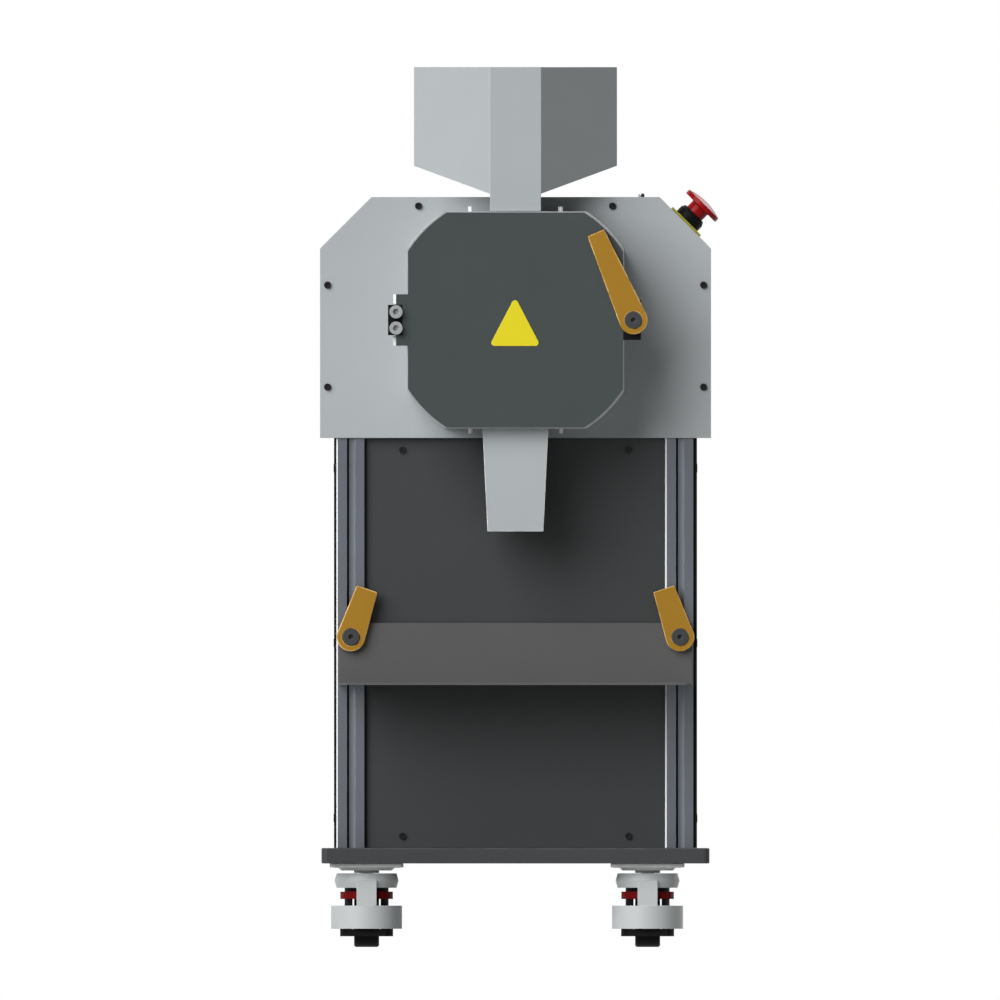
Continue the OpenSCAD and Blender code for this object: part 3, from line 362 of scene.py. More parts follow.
def make_materials(colours):
    """Fills MATERIALS with one finish for each material slot of the record, and a few more."""
    GROUPS["Surface grain"] = grain_group()
    GROUPS["Edge wear and highlight"] = wear_and_highlight_group()
    GROUPS["Settled dust"] = dust_group()
    GROUPS["Brushed lines"] = brushed_group()
    light, blue = tuple(colours.light_grey), tuple(colours.profile_blue)
    MATERIALS.update({
        "grey_paint": finish("Light grey coating", light, 0.45, bump=0.00005, tone=0.012, wear_and_highlight=0.2,
                             dust=0.04, specular=0.2),
        # Painted highlight: the chute's rounded bends get a strong near-white edge mark that stands in
        # for light on them
        "chute_paint_edge_highlight": finish("Chute coating with painted edge highlight", light, 0.45, bump=0.00005, tone=0.012, wear_and_highlight=0.9,
                              wear_and_highlight_colour=(0.80, 0.82, 0.83), dust=0.04, specular=0.2),
        "dark_paint": finish("Dark grey coating", tuple(colours.dark_grey), 0.50, bump=0.00006,
                             tone=0.03, wear_and_highlight=0.3, wear_and_highlight_colour=(0.12, 0.125, 0.13), dust=0.04,
                             specular=0.2),
        # Painted highlight: a strong light edge mark stands in for light along the shelf's bent edges
        "shelf_paint": finish("Shelf coating with painted edge highlight", tuple(colours.shelf_grey), 0.48, bump=0.00006,
                              wear_and_highlight=0.9, wear_and_highlight_colour=(0.30, 0.30, 0.30), dust=0.04),
        "motor_paint": finish("Motor coating", (0.075, 0.08, 0.085), 0.5, grain=500, dust=0.2),
        "door_paint": finish("Door coating", tuple(colours.door_grey), 0.45, bump=0.00005,
                             tone=0.025, wear_and_highlight=0.4, wear_and_highlight_colour=(0.20, 0.22, 0.22), dust=0.04,
                             specular=0.25),
        # Painted highlight: a strong light ochre edge mark stands in for light along the levers' rounded
        # edges
        "lever_paint": finish("Ochre coating with painted edge highlight", tuple(colours.lever_ochre), 0.40, tone=0.03,
                              wear_and_highlight=1.0, wear_and_highlight_colour=(0.75, 0.48, 0.18), dust=0.03, specular=0.2),
        "anodised_aluminium": finish("Anodised profile", blue, 0.30, metallic=0.5, wear_and_highlight=0.5,
                                     wear_and_highlight_colour=(0.34, 0.36, 0.40), dust=0.03,
                                     lines=(1.0, 1.0, 0.01)),
        # Painted light: a lighter copy of the profile colour for the slot floor, standing in for light
        # reaching into the slot
        "slot_floor_painted_light": finish("Slot floor with painted light", shade(blue, 1.15), 0.30, metallic=0.5, dust=0.02),
        # Painted highlight: a near-white finish standing in for light on the columns' left edges, the
        # hinge bracket, the chamber screws and the caster plates
        "painted_highlight": finish("Painted highlight", (0.84, 0.85, 0.85), 0.35, wear_and_highlight=0.1,
                              wear_and_highlight_colour=(0.95, 0.95, 0.95), dust=0.02),
        "black_steel": finish("Black oxide", (0.006, 0.006, 0.007), 0.36, grain=1500, wear_and_highlight=0.3,
                              wear_and_highlight_colour=(0.05, 0.05, 0.055), dust=0.02, specular=0.15),
        "bright_steel": finish("Machined steel", (0.34, 0.35, 0.36), 0.32, metallic=0.6, wear_and_highlight=0.3,
                               dust=0.03, lines=(1.0, 0.03, 1.0)),
        "tool_steel": finish("Ground tool steel", (0.45, 0.46, 0.48), 0.26, metallic=1.0, wear_and_highlight=0.4,
                             dust=0.02, lines=(0.02, 1.0, 1.0)),
        "rotor_steel": finish("Machined rotor", (0.27, 0.28, 0.30), 0.36, metallic=1.0, wear_and_highlight=0.4,
                              dust=0.02, lines=(1.0, 0.03, 1.0)),
        # Painted highlight: a strong light edge mark stands in for light on the hinge screws' rims
        "hinge_grey_rim_highlight": finish("Hinge screws with painted rim highlight", (0.33, 0.34, 0.345), 0.40, wear_and_highlight=1.0,
                             wear_and_highlight_colour=(0.66, 0.68, 0.69), dust=0.02, specular=0.2),
        "zinc": finish("Zinc-plated steel", (0.50, 0.51, 0.50), 0.34, metallic=1.0, tone=0.05,
                       wear_and_highlight=0.3, dust=0.05),
        "yellow_plastic": finish("Yellow plastic", (0.48, 0.46, 0.06), 0.5, wear_and_highlight=0.1, dust=0.02),
        "sign_yellow": finish("Yellow enamel", tuple(colours.plate_yellow), 0.32, grain=1500,
                              bump=0.00002, wear_and_highlight=0.3, wear_and_highlight_colour=(0.9, 0.82, 0.25), dust=0.02,
                              coat=0.1),
        "red_plastic": finish("Red plastic", tuple(colours.stop_red), 0.30, grain=1800,
                              bump=0.00002, wear_and_highlight=0.15, wear_and_highlight_colour=(0.50, 0.02, 0.03), dust=0.01,
                              specular=0.1),
        "thumb_red": finish("Thumbwheel red", tuple(colours.thumb_red), 0.42, grain=1400,
                            wear_and_highlight=0.2, wear_and_highlight_colour=(0.24, 0.01, 0.01), dust=0.01, specular=0.04),
        # Also painted shade: black faces on the columns' edges and slot lips, the side panels' front
        # edges and the door's lugs
        "black_plastic": finish("Black plastic and painted shade", (0.006, 0.006, 0.0065), 0.42, grain=1600,
                                tone=0.05, wear_and_highlight=0.15, wear_and_highlight_colour=(0.02, 0.02, 0.02), dust=0.02,
                                specular=0.05),
        "caster_grey": finish("Caster coating", (0.45, 0.47, 0.475), 0.38, tone=0.015, wear_and_highlight=0.4,
                              wear_and_highlight_colour=(0.62, 0.63, 0.64), dust=0.05),
        "wheel_black": finish("Wheel nylon", (0.006, 0.006, 0.0065), 0.5, grain=700, bump=0.0001,
                              wear_and_highlight=0.1, wear_and_highlight_colour=(0.02, 0.02, 0.02), dust=0.02, specular=0.04),
        "foot_rubber": finish("Foot rubber", (0.007, 0.007, 0.007), 0.68, grain=1200, bump=0.0001,
                              tone=0.1, wear_and_highlight=0.2, wear_and_highlight_colour=(0.02, 0.02, 0.02), dust=0.03,
                              specular=0.05),
    })


# Mesh helpers


def new_object(name, mesh, material):
    """An object at the origin with one material."""
    piece = bpy.data.objects.new(name, mesh)
    bpy.context.scene.collection.objects.link(piece)
    mesh.materials.clear()
    mesh.materials.append(MATERIALS[material])
    return piece


def apply_modifiers(piece):
    """Turns the evaluated object into its plain mesh and drops the modifiers."""
    graph = bpy.context.evaluated_depsgraph_get()
    made = bpy.data.meshes.new_from_object(piece.evaluated_get(graph), depsgraph=graph)
    materials = list(piece.data.materials)
    slots = [0] * len(made.polygons)
    made.polygons.foreach_get("material_index", slots)
    piece.modifiers.clear()
    piece.data = made
    made.materials.clear()
    for material in materials:
        made.materials.append(material)
    made.polygons.foreach_set("material_index", [min(slot, len(materials) - 1) for slot in slots])


def round_edges(piece, width, segments=2, clamp=True):
    """Rounds the sharp edges, and keeps flat faces flat in shading."""
    for polygon in piece.data.polygons:
        polygon.use_smooth = True
    bevel = piece.modifiers.new("Rounding", "BEVEL")
    bevel.width = width
    bevel.segments = segments
    bevel.limit_method = "ANGLE"
    bevel.angle_limit = SHARP_ANGLE
    bevel.use_clamp_overlap = clamp
    bevel.loop_slide = False
    bevel.material = 1
    weighted = piece.modifiers.new("Flat faces", "WEIGHTED_NORMAL")
    weighted.keep_sharp = True
    weighted.weight = LARGE_FACE_WEIGHT
    piece.data.materials.append(piece.data.materials[0])
    apply_modifiers(piece)
    mark_rounded(piece.data)


def mark_rounded(mesh):
    """Turns the second material slot of the rounded edges into a face attribute for the edge wear and
    painted highlight.
    """
    faces = [0] * len(mesh.polygons)
    mesh.polygons.foreach_get("material_index", faces)
    rounded = mesh.attributes.new("rounded", "FLOAT", "FACE")
    rounded.data.foreach_set("value", [float(face) for face in faces])
    mesh.polygons.foreach_set("material_index", [0] * len(faces))
    mesh.materials.pop()


def merged_copy(node, cuts=()):
    """A copy of a CAD node's mesh with whole flat faces, split again along the planes in cuts."""
    mesh = NODES[node].data.copy()
    work = bmesh.new()
    work.from_mesh(mesh)
    bmesh.ops.remove_doubles(work, verts=work.verts, dist=MERGE_GAP)
    bmesh.ops.dissolve_limit(
        work, angle_limit=FLAT_ANGLE, verts=work.verts, edges=work.edges, delimit={"NORMAL"})
    # A face that uses one edge twice goes round a hole, and the rounding would tear it
    holed = {edge.link_loops[0].face for edge in work.edges
             if len({loop.face for loop in edge.link_loops}) == 1}
    bmesh.ops.triangulate(work, faces=list(holed))
    for point, normal in cuts:
        whole = list(work.verts) + list(work.edges) + list(work.faces)
        bmesh.ops.bisect_plane(work, geom=whole, plane_co=point, plane_no=normal, dist=CUT_GAP)
    work.to_mesh(mesh)
    work.free()
    if mesh.attributes.get("custom_normal"):
        mesh.attributes.remove(mesh.attributes["custom_normal"])
    return mesh


def dress(node, width, segments=2, material=None, cuts=(), clamp=True):
    """Stands a rounded copy in for a CAD node, in its slot's finish or in another one."""
    piece = new_object("dressed_" + node, merged_copy(node, cuts), material or SLOT_OF[node])
    round_edges(piece, width, segments, clamp)
    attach(piece, BODY_OF[node])
    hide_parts(node)
    return piece


def paint_faces(piece, material, wanted):
    """Gives the faces for which wanted is true another finish."""
    piece.data.materials.append(MATERIALS[material])
    index = len(piece.data.materials) - 1
    for face in piece.data.polygons:
        if wanted(face.center, face.normal):
            face.material_index = index


def finish_piece(piece, body):
    """Lets an added piece ride on its body."""
    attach(piece, body)


def middle(node):
    """The middle of a CAD node's box."""
    low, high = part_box(node)
    return (low + high) / 2


# Geometry Nodes for what repeats


def point_mesh(name, places):
    """A mesh of loose points, each with the angles of its shape in the attribute turn."""
    mesh = bpy.data.meshes.new(name)
    mesh.from_pydata([tuple(place) for place, _ in places], [], [])
    turn = mesh.attributes.new("turn", "FLOAT_VECTOR", "POINT")
    for index, (_, angles) in enumerate(places):
        turn.data[index].vector = angles
    return mesh


def repeat_tree(name, material, build_one):
    """A Geometry Nodes tree that puts one small shape on every point and ends in plain faces."""
    tree = bpy.data.node_groups.new(name, "GeometryNodeTree")
    tree.interface.new_socket("Geometry", in_out="INPUT", socket_type="NodeSocketGeometry")
    for label, value in (("Width", 0.01), ("Height", 0.004)):
        socket = tree.interface.new_socket(label, in_out="INPUT", socket_type="NodeSocketFloat")
        socket.subtype = "DISTANCE"
        socket.default_value = value
    tree.interface.new_socket("Geometry", in_out="OUTPUT", socket_type="NodeSocketGeometry")
    inside, outside = tree.nodes.new("NodeGroupInput"), tree.nodes.new("NodeGroupOutput")
    shape = build_one(tree, inside)
    copies = tree.nodes.new("GeometryNodeInstanceOnPoints")
    turn = tree.nodes.new("GeometryNodeInputNamedAttribute")
    turn.data_type = "FLOAT_VECTOR"
    turn.inputs["Name"].default_value = "turn"
    plain = tree.nodes.new("GeometryNodeRealizeInstances")
    paint = tree.nodes.new("GeometryNodeSetMaterial")
    paint.inputs["Material"].default_value = MATERIALS[material]
    join(tree, inside.outputs["Geometry"], copies.inputs["Points"])
    join(tree, shape, copies.inputs["Instance"])
    rotation = tree.nodes.new("FunctionNodeEulerToRotation")
    angles = [s for s in turn.outputs if s.enabled and s.name == "Attribute"][0]
    join(tree, angles, rotation.inputs[0])
    join(tree, rotation.outputs[0], copies.inputs["Rotation"])
    join(tree, copies.outputs["Instances"], plain.inputs["Geometry"])
    join(tree, plain.outputs["Geometry"], paint.inputs["Geometry"])
    join(tree, paint.outputs["Geometry"], outside.inputs["Geometry"])
    return tree


SCREW_SIDES = 24


def frustum(tree, inside, foot=1.0, top=1.0, height=1.0, lift=0.0):
    """A round frustum standing on Z.

    Its widths are shares of the tree's Width, its height and lift shares of the tree's Height.
    """
    width, tall = inside.outputs["Width"], inside.outputs["Height"]
    cone = tree.nodes.new("GeometryNodeMeshCone")
    cone.inputs["Vertices"].default_value = SCREW_SIDES
    join(tree, times(tree, width, foot / 2), cone.inputs["Radius Bottom"])
    join(tree, times(tree, width, top / 2), cone.inputs["Radius Top"])
    join(tree, times(tree, tall, height), cone.inputs["Depth"])
    move = tree.nodes.new("GeometryNodeTransform")
    offset = tree.nodes.new("ShaderNodeCombineXYZ")
    join(tree, times(tree, tall, lift), offset.inputs["Z"])
    join(tree, cone.outputs["Mesh"], move.inputs["Geometry"])
    join(tree, offset.outputs[0], move.inputs["Translation"])
    return move.outputs["Geometry"]


def stack(tree, shapes):
    """Joins several shapes into one geometry."""
    node = tree.nodes.new("GeometryNodeJoinGeometry")
    for shape in shapes:
        join(tree, shape, node.inputs["Geometry"])
    return node.outputs["Geometry"]


def button_screw(tree, inside):
    """A low round screw head with a domed edge."""
    shoulder = 0.86
    return stack(tree, [
        frustum(tree, inside, height=0.45),
        frustum(tree, inside, top=shoulder, height=0.35, lift=0.45),
        frustum(tree, inside, foot=shoulder, top=0.62 * shoulder, height=0.20, lift=0.80)])


def flat_screw(tree, inside):
    """A countersunk screw head, nearly flush."""
    return stack(tree, [
        frustum(tree, inside, height=0.6),
        frustum(tree, inside, top=0.94, height=0.4, lift=0.6)])


def repeated(name, places, body, material, build_one, width, height):
    """One plain mesh of the same small shape at every place, riding on body."""
    piece = new_object(name, point_mesh(name, places), material)
    tree = repeat_tree(name + "_tree", material, build_one)
    modifier = piece.modifiers.new("Repeats", "NODES")
    modifier.node_group = tree
    sizes = {"Width": width, "Height": height}
    for item in tree.interface.items_tree:
        if item.in_out == "INPUT" and item.name in sizes:
            modifier[item.identifier] = sizes[item.name]
    apply_modifiers(piece)
    finish_piece(piece, body)


# Turns that point the +Z of a small shape along another axis
UP, DOWN, REAR = (0, 0, 0), (math.pi, 0, 0), (-math.pi / 2, 0, 0)
LEFT, RIGHT = (0, -math.pi / 2, 0), (0, math.pi / 2, 0)


class GranulatorOperator:
    """What the operators share: they only run in object mode."""

    bl_options = {"REGISTER", "UNDO"}

    @classmethod
    def poll(cls, context):
        return context.mode == "OBJECT"


def dress_front_columns(rounding):
    """Dress the slotted profile with painted light: a slot floor painted lighter, a painted shadow along
    the slot lip, a painted highlight on the left edge and painted shade on the right edge.
    """
    slot_start, lip_shade, lip_depth = 0.0108, 0.0023, 0.001
    edge_width = 0.0021
    facing_front, leaning_front, leaning_aside = -0.9, -0.1, 0.2
    low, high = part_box("front_columns")
    width, mid_y = high.y - low.y, (low.y + high.y) / 2
    shade_end = slot_start + lip_shade
    lefts = (low.x, high.x - width)
    columns = dress("front_columns", rounding, cuts=[
        ((left + shade_end, 0, 0), ALONG_X) for left in lefts])

    def from_left(at):
        return at.x - lefts[0] if at.x < 0 else at.x - lefts[1]

    def in_slot(at, normal):
        return normal.y < facing_front and at.y > low.y + lip_depth

    # Painted light: the slot floor is painted lighter, as if lit like the profile's face
    paint_faces(columns, "slot_floor_painted_light", in_slot)
    # Painted shadow: a black strip along the slot's left lip
    paint_faces(columns, "black_plastic", lambda at, normal: in_slot(at, normal)
                and from_left(at) < shade_end and at.y < mid_y)
    # Painted highlight: the front faces of the left rounded edge are painted near white
    paint_faces(columns, "painted_highlight", lambda at, normal: normal.x < -leaning_aside
                and normal.y < leaning_front and from_left(at) < edge_width)
    # Painted shade: the front faces of the right rounded edge are painted black
    paint_faces(columns, "black_plastic", lambda at, normal: normal.x > leaning_aside
                and normal.y < leaning_front and from_left(at) > width - edge_width)


class OBJECT_OT_granulator_frame(GranulatorOperator, bpy.types.Operator):
    """Dress the base plate, columns, rails and panels"""

    bl_idname = "object.granulator_frame"
    bl_label = "Frame and panels"

    def execute(self, context):
        sizes = context.scene.granulator_sizes
        dress("base_plate", 2 * sizes.edge_round, 3)
        dress("rear_columns", sizes.sheet_round)
        dress_front_columns(sizes.sheet_round)
        for node in ("cross_rails", "deck_plate"):
            dress(node, sizes.edge_round)
        for node in ("front_panel", "rear_lower_panel"):
            dress(node, sizes.sheet_round)
        # Painted shade: the side panels' front edges are painted black, a dark line beside the columns
        leaning_front = -0.3
        paint_faces(dress("side_panels", sizes.sheet_round), "black_plastic",
                    lambda at, normal: normal.y < leaning_front)
        return {"FINISHED"}


class OBJECT_OT_granulator_housing(GranulatorOperator, bpy.types.Operator):
    """Dress the front plate, cover, rear panel and everything on the rear"""

    bl_idname = "object.granulator_housing"
    bl_label = "Housing"

    def execute(self, context):
        sizes = context.scene.granulator_sizes
        for node in ("front_plate", "housing_shell", "rear_panel", "switch_plate", "cable_gland"):
            dress(node, sizes.sheet_round)
        dress("main_switch_knob", 1.5 * sizes.edge_round, 3)
        for node in ("drive_motor", "bearings"):
            dress(node, sizes.edge_round)
        return {"FINISHED"}


class OBJECT_OT_granulator_feed(GranulatorOperator, bpy.types.Operator):
    """Dress the hopper and the discharge chute"""

    bl_idname = "object.granulator_feed"
    bl_label = "Hopper and chute"

    def execute(self, context):
        sizes = context.scene.granulator_sizes
        dress("hopper", 1.5 * sizes.sheet_round, 3)
        # The chute's finish carries a painted edge highlight
        dress("chute", 1.5 * sizes.sheet_round, 3, "chute_paint_edge_highlight")
        return {"FINISHED"}


class OBJECT_OT_granulator_chamber(GranulatorOperator, bpy.types.Operator):
    """Dress the cutting chamber, its knives, screen and rotor"""

    bl_idname = "object.granulator_chamber"
    bl_label = "Cutting chamber and rotor"

    def execute(self, context):
        sizes = context.scene.granulator_sizes
        for node in ("cutting_chamber", "rotor_core", "rotor_shaft"):
            dress(node, sizes.edge_round)
        # Painted highlight: the chamber screws take the near-white finish
        dress("chamber_screws", sizes.edge_round, 2, "painted_highlight")
        for node in ("stator_knives", "rotor_knives", "screen"):
            dress(node, 0.5 * sizes.sheet_round)
        return {"FINISHED"}


class OBJECT_OT_granulator_door(GranulatorOperator, bpy.types.Operator):
    """Dress the door, its hinge and its latch"""

    bl_idname = "object.granulator_door"
    bl_label = "Door, hinge and latch"

    def execute(self, context):
        sizes = context.scene.granulator_sizes
        # Beyond these sides the door's two lugs are painted black as painted shade, the left one beside
        # the knuckle only
        hinge_side, latch_side = -0.1130, 0.1078
        knuckle_low, knuckle_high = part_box("hinge_knuckle")
        door = dress("door", 1.3 * sizes.edge_round, 3, cuts=(
            ((hinge_side, 0, 0), ALONG_X), ((latch_side, 0, 0), ALONG_X),
            (knuckle_low, ALONG_Z), (knuckle_high, ALONG_Z)))
        paint_faces(door, "black_plastic", lambda at, normal: at.x > latch_side
                    or at.x < hinge_side and knuckle_low.z < at.z < knuckle_high.z)
        dress("latch_lever", 1.6 * sizes.edge_round, 3)
        dress("hinge_screws", sizes.edge_round, 3, "hinge_grey_rim_highlight")
        # Painted highlight: the hinge bracket takes the near-white finish
        dress("hinge_bracket", sizes.edge_round, 2, "painted_highlight")
        for node in ("hinge_pin", "hinge_knuckle", "latch_stud", "latch_keeper"):
            dress(node, sizes.edge_round)
        return {"FINISHED"}


def rounded_outline(corners, radius, steps):
    """The outline through flat corners, each one rounded by an arc of the radius in so many steps."""
    centre = sum(corners, Vector((0, 0))) / len(corners)
    outline = []
    for index, point in enumerate(corners):
        before = (corners[index - 1] - point).normalized()
        after = (corners[(index + 1) % len(corners)] - point).normalized()
        inward = (before + after).normalized()
        pivot = point + inward * (radius / math.sin(before.angle(after) / 2))
        ends = []
        for side in (before, after):
            outward = Vector((side.y, -side.x))
            ends.append(-outward if outward.dot(pivot - centre) < 0 else outward)
        outline += [pivot + ends[0].slerp(ends[1], step / steps) * radius
                    for step in range(steps + 1)]
    return outline


def upright_plate(name, outline, front_y, back_y, material):
    """A flat plate that stands upright between two depths, its outline in X and Z."""
    work = bmesh.new()
    front = [work.verts.new((point.x, front_y, point.y)) for point in outline]
    back = [work.verts.new((point.x, back_y, point.y)) for point in outline]
    work.faces.new(front)
    work.faces.new(list(reversed(back)))
    for index in range(len(front)):
        after = (index + 1) % len(front)
        work.faces.new((front[index], back[index], back[after], front[after]))
    bmesh.ops.recalc_face_normals(work, faces=work.faces)
    mesh = bpy.data.meshes.new(name)
    work.to_mesh(mesh)
    work.free()
    return new_object(name, mesh, material)


class OBJECT_OT_granulator_sign(GranulatorOperator, bpy.types.Operator):
    """Add the bare yellow plate with three rounded corners to the door"""

    bl_idname = "object.granulator_sign"
    bl_label = "Yellow plate"

    def execute(self, context):
        sizes = context.scene.granulator_sizes
        foot = Vector((-0.0005, 0.601))
        corner_radius, corner_steps = 0.0032, 8
        thick, rounding = 0.0008, 0.00025
        half = sizes.plate_side / 2
        corners = [foot + Vector((-half, 0)), foot + Vector((half, 0)),
                   foot + Vector((0, sizes.plate_height))]
        door_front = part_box("door")[0].y
        outline = rounded_outline(corners, corner_radius, corner_steps)
        piece = upright_plate("door_plate", outline, door_front - thick, door_front, "sign_yellow")
        round_edges(piece, rounding)
        finish_piece(piece, "door")
        return {"FINISHED"}


class OBJECT_OT_granulator_shelf(GranulatorOperator, bpy.types.Operator):
    """Dress the shelf and its two clamping levers"""

    bl_idname = "object.granulator_shelf"
    bl_label = "Shelf and levers"

    def execute(self, context):
        sizes = context.scene.granulator_sizes
        dress("shelf", sizes.sheet_round, 2, "shelf_paint")
        dress("slot_nuts", sizes.edge_round)
        for side in ("left", "right"):
            dress("shelf_lever_" + side, 1.6 * sizes.edge_round, 3)
            dress("shelf_stud_" + side, sizes.edge_round)
        return {"FINISHED"}


def lathe(name, profile, steps, material):
    """A closed turned shape about Z from points (radius, height) that start and end on the axis."""
    work = bmesh.new()
    rings = []
    for radius, height in profile:
        if radius == 0:
            rings.append([work.verts.new((0, 0, height))] * steps)
            continue
        rings.append([work.verts.new((radius * math.cos(turn), radius * math.sin(turn), height))
                      for turn in (2 * math.pi * step / steps for step in range(steps))])
    for low, high in zip(rings, rings[1:]):
        for step in range(steps):
            after = (step + 1) % steps
            corners = []
            for corner in (low[step], low[after], high[after], high[step]):
                if corner not in corners:
                    corners.append(corner)
            work.faces.new(corners)
    bmesh.ops.recalc_face_normals(work, faces=work.faces)
    mesh = bpy.data.meshes.new(name)
    work.to_mesh(mesh)
    work.free()
    return new_object(name, mesh, material)


def arc(centre, radius, start, end, steps):
    """Points (radius, height) on an arc in the half plane of a lathe, angles in degrees."""
    turns = [math.radians(start + (end - start) * step / steps) for step in range(steps + 1)]
    return [(centre[0] + radius * math.cos(turn), centre[1] + radius * math.sin(turn))
            for turn in turns]


def stop_profile(radius):
    """Half the section of the mushroom head: neck, hollow under the brim, brim and flat dome."""
    neck, neck_low, neck_high, neck_fillet = 0.0102, 0.00505, 0.0204, 0.0014
    hollow_reach, hollow_high = 0.0036, 0.0228
    lip_reach, lip_low = 0.0030, 0.0222
    brim_fillet, brim_low = 0.0009, 0.0224
    rim_fillet, rim_high, rim_end = 0.0012, 0.0254, 70
    crown, dome_steps, arc_steps = 0.0298, 14, 6
    profile = [(0, neck_low), (neck, neck_low), (neck, neck_high)]
    profile += arc((neck + neck_fillet, neck_high), neck_fillet, 180, 90, arc_steps - 1)
    profile += [(radius - hollow_reach, hollow_high), (radius - lip_reach, lip_low)]
    profile += arc((radius - brim_fillet, brim_low), brim_fillet, 225, 360, arc_steps)
    profile += arc((radius - rim_fillet, rim_high), rim_fillet, 0, rim_end, arc_steps)
    edge_reach, edge_high = profile[-1]
    for step in range(1, dome_steps):
        share = 1 - step / dome_steps
        profile.append((edge_reach * share, crown - (crown - edge_high) * share ** 2))
    return profile + [(0, crown)]


def stop_head():
    """The red mushroom head on its neck, square to the slope that it stands on."""
    half_diagonal = math.sqrt(0.5)
    steps, sharp_angle = 72, math.radians(40)
    lean = Matrix.Rotation(math.radians(45), 4, "Y")
    plate_low, plate_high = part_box("estop_plate")
    plate_size = plate_high - plate_low
    plate_thick = (plate_size.x - plate_size.y * half_diagonal) * half_diagonal
    foot = middle("estop_plate") - lean.to_3x3() @ Vector((0, 0, plate_thick))
    low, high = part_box("estop_button")
    head = lathe("stop_head", stop_profile((high.y - low.y) / 2), steps, "red_plastic")
    head.data.transform(Matrix.Translation(foot) @ lean)
    for polygon in head.data.polygons:
        polygon.use_smooth = True
    head.data.set_sharp_from_angle(angle=sharp_angle)
    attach(head, "estop_head")
    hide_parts("estop_button")


class OBJECT_OT_granulator_stop(GranulatorOperator, bpy.types.Operator):
    """Dress the emergency stop"""

    bl_idname = "object.granulator_stop"
    bl_label = "Emergency stop"

    def execute(self, context):
        sizes = context.scene.granulator_sizes
        dress("estop_plate", sizes.edge_round)
        dress("estop_collar", sizes.edge_round)
        stop_head()
        return {"FINISHED"}


class OBJECT_OT_granulator_casters(GranulatorOperator, bpy.types.Operator):
    """Dress the four levelling casters and add the bolts of their plates"""

    bl_idname = "object.granulator_casters"
    bl_label = "Levelling casters"

    def execute(self, context):
        sizes = context.scene.granulator_sizes
        # The fork's core is black between these heights, out to this radius
        core_low, core_high, core_radius = 0.0412, 0.0622, 0.0228
        plate_thick, bolt_reach, bolt_height = 0.004, 0.029, 0.0004
        under_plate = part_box("caster_plates")[1].z - plate_thick
        fine_round = 0.6 * sizes.edge_round
        bolts = []
        # Painted light: the caster plates take the near-white finish, lighter than the base plate's
        # shadow leaves them
        dress("caster_plates", sizes.edge_round, 2, "painted_highlight")
        for corner in CORNERS:
            centre = middle("thumbwheel_" + corner)
            fork = dress("fork_" + corner, fine_round, clamp=False)
            paint_faces(fork, "wheel_black", lambda at, normal: core_low < at.z < core_high
                        and math.hypot(at.x - centre.x, at.y - centre.y) < core_radius)
            dress("wheel_" + corner, fine_round, clamp=False)
            dress("foot_" + corner, sizes.edge_round)
            dress("thumbwheel_" + corner, 0.8 * sizes.edge_round, 2, "thumb_red")
            bolts += [((centre.x + x, centre.y + y, under_plate), DOWN)
                      for x in (-bolt_reach, bolt_reach) for y in (-bolt_reach, bolt_reach)]
        repeated("caster_bolts", bolts, "frame", "zinc", flat_screw,
                 sizes.caster_bolt, bolt_height)
        return {"FINISHED"}


def side_screws():
    """Flush screws in two rows on each side panel."""
    width, height = 0.0085, 0.0004
    row_inset, end_inset = 0.015, 0.03
    low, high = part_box("side_panels")
    places = []
    for y in (low.y + row_inset, high.y - row_inset):
        for z in (low.z + end_inset, (low.z + high.z) / 2, high.z - end_inset):
            places += [((low.x, y, z), LEFT), ((high.x, y, z), RIGHT)]
    repeated("side_screws", places, "frame", "black_steel", flat_screw, width, height)


def cover_screws():
    """Round screws of the rear panel and of the lower panel under it."""
    width, height = 0.0078, 0.0026
    inset, corner_height, column_middle = 0.012, 0.16, 0.035
    low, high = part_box("rear_panel")
    foot, corner, top = low.z + inset, low.z + corner_height, high.z - inset
    places = [((x, high.y, z), REAR) for x, z in (
        (low.x + inset, foot), (low.x + inset, corner), (0.0, foot), (0.0, top),
        (high.x - inset, foot), (high.x - inset, corner))]
    low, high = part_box("rear_lower_panel")
    places += [((x, high.y, z), REAR) for x in (low.x + column_middle, high.x - column_middle)
               for z in (low.z + inset, high.z - inset)]
    repeated("cover_screws", places, "frame", "black_steel", button_screw,
             width, height)


def top_screws():
    """A row of small screws on the housing's top, each with a light pin beside it."""
    screw_x, screw_width, screw_height = 0.1272, 0.0036, 0.0035
    pin_x, pin_width, pin_height = 0.1240, 0.0022, 0.0032
    first, step = 0.05, 0.10
    low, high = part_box("housing_shell")
    rows = [low.y + first + step * index for index in range(3)]
    repeated("top_screws", [((screw_x, y, high.z), UP) for y in rows], "frame",
             "black_steel", button_screw, screw_width, screw_height)
    repeated("top_pins", [((pin_x, y, high.z), UP) for y in rows], "frame",
             "zinc", button_screw, pin_width, pin_height)


class OBJECT_OT_granulator_screws(GranulatorOperator, bpy.types.Operator):
    """Dress the front screws and add the screws of the sides, the rear and the top"""

    bl_idname = "object.granulator_screws"
    bl_label = "Screws"

    def execute(self, context):
        dress("plate_screws", 0.6 * context.scene.granulator_sizes.edge_round)
        side_screws()
        cover_screws()
        top_screws()
        return {"FINISHED"}


def white_for_viewers(tree, seen, lit):
    """A strength of one value for camera, glossy and transmission rays, and another for the rest."""
    path = tree.nodes.new("ShaderNodeLightPath")
    viewers = path.outputs["Is Camera Ray"]
    for ray in ("Is Glossy Ray", "Is Transmission Ray"):
        either = tree.nodes.new("ShaderNodeMath")
        either.operation = "MAXIMUM"
        join(tree, viewers, either.inputs[0])
        join(tree, path.outputs[ray], either.inputs[1])
        viewers = either.outputs[0]
    return blend_value(tree, viewers, lit, seen)


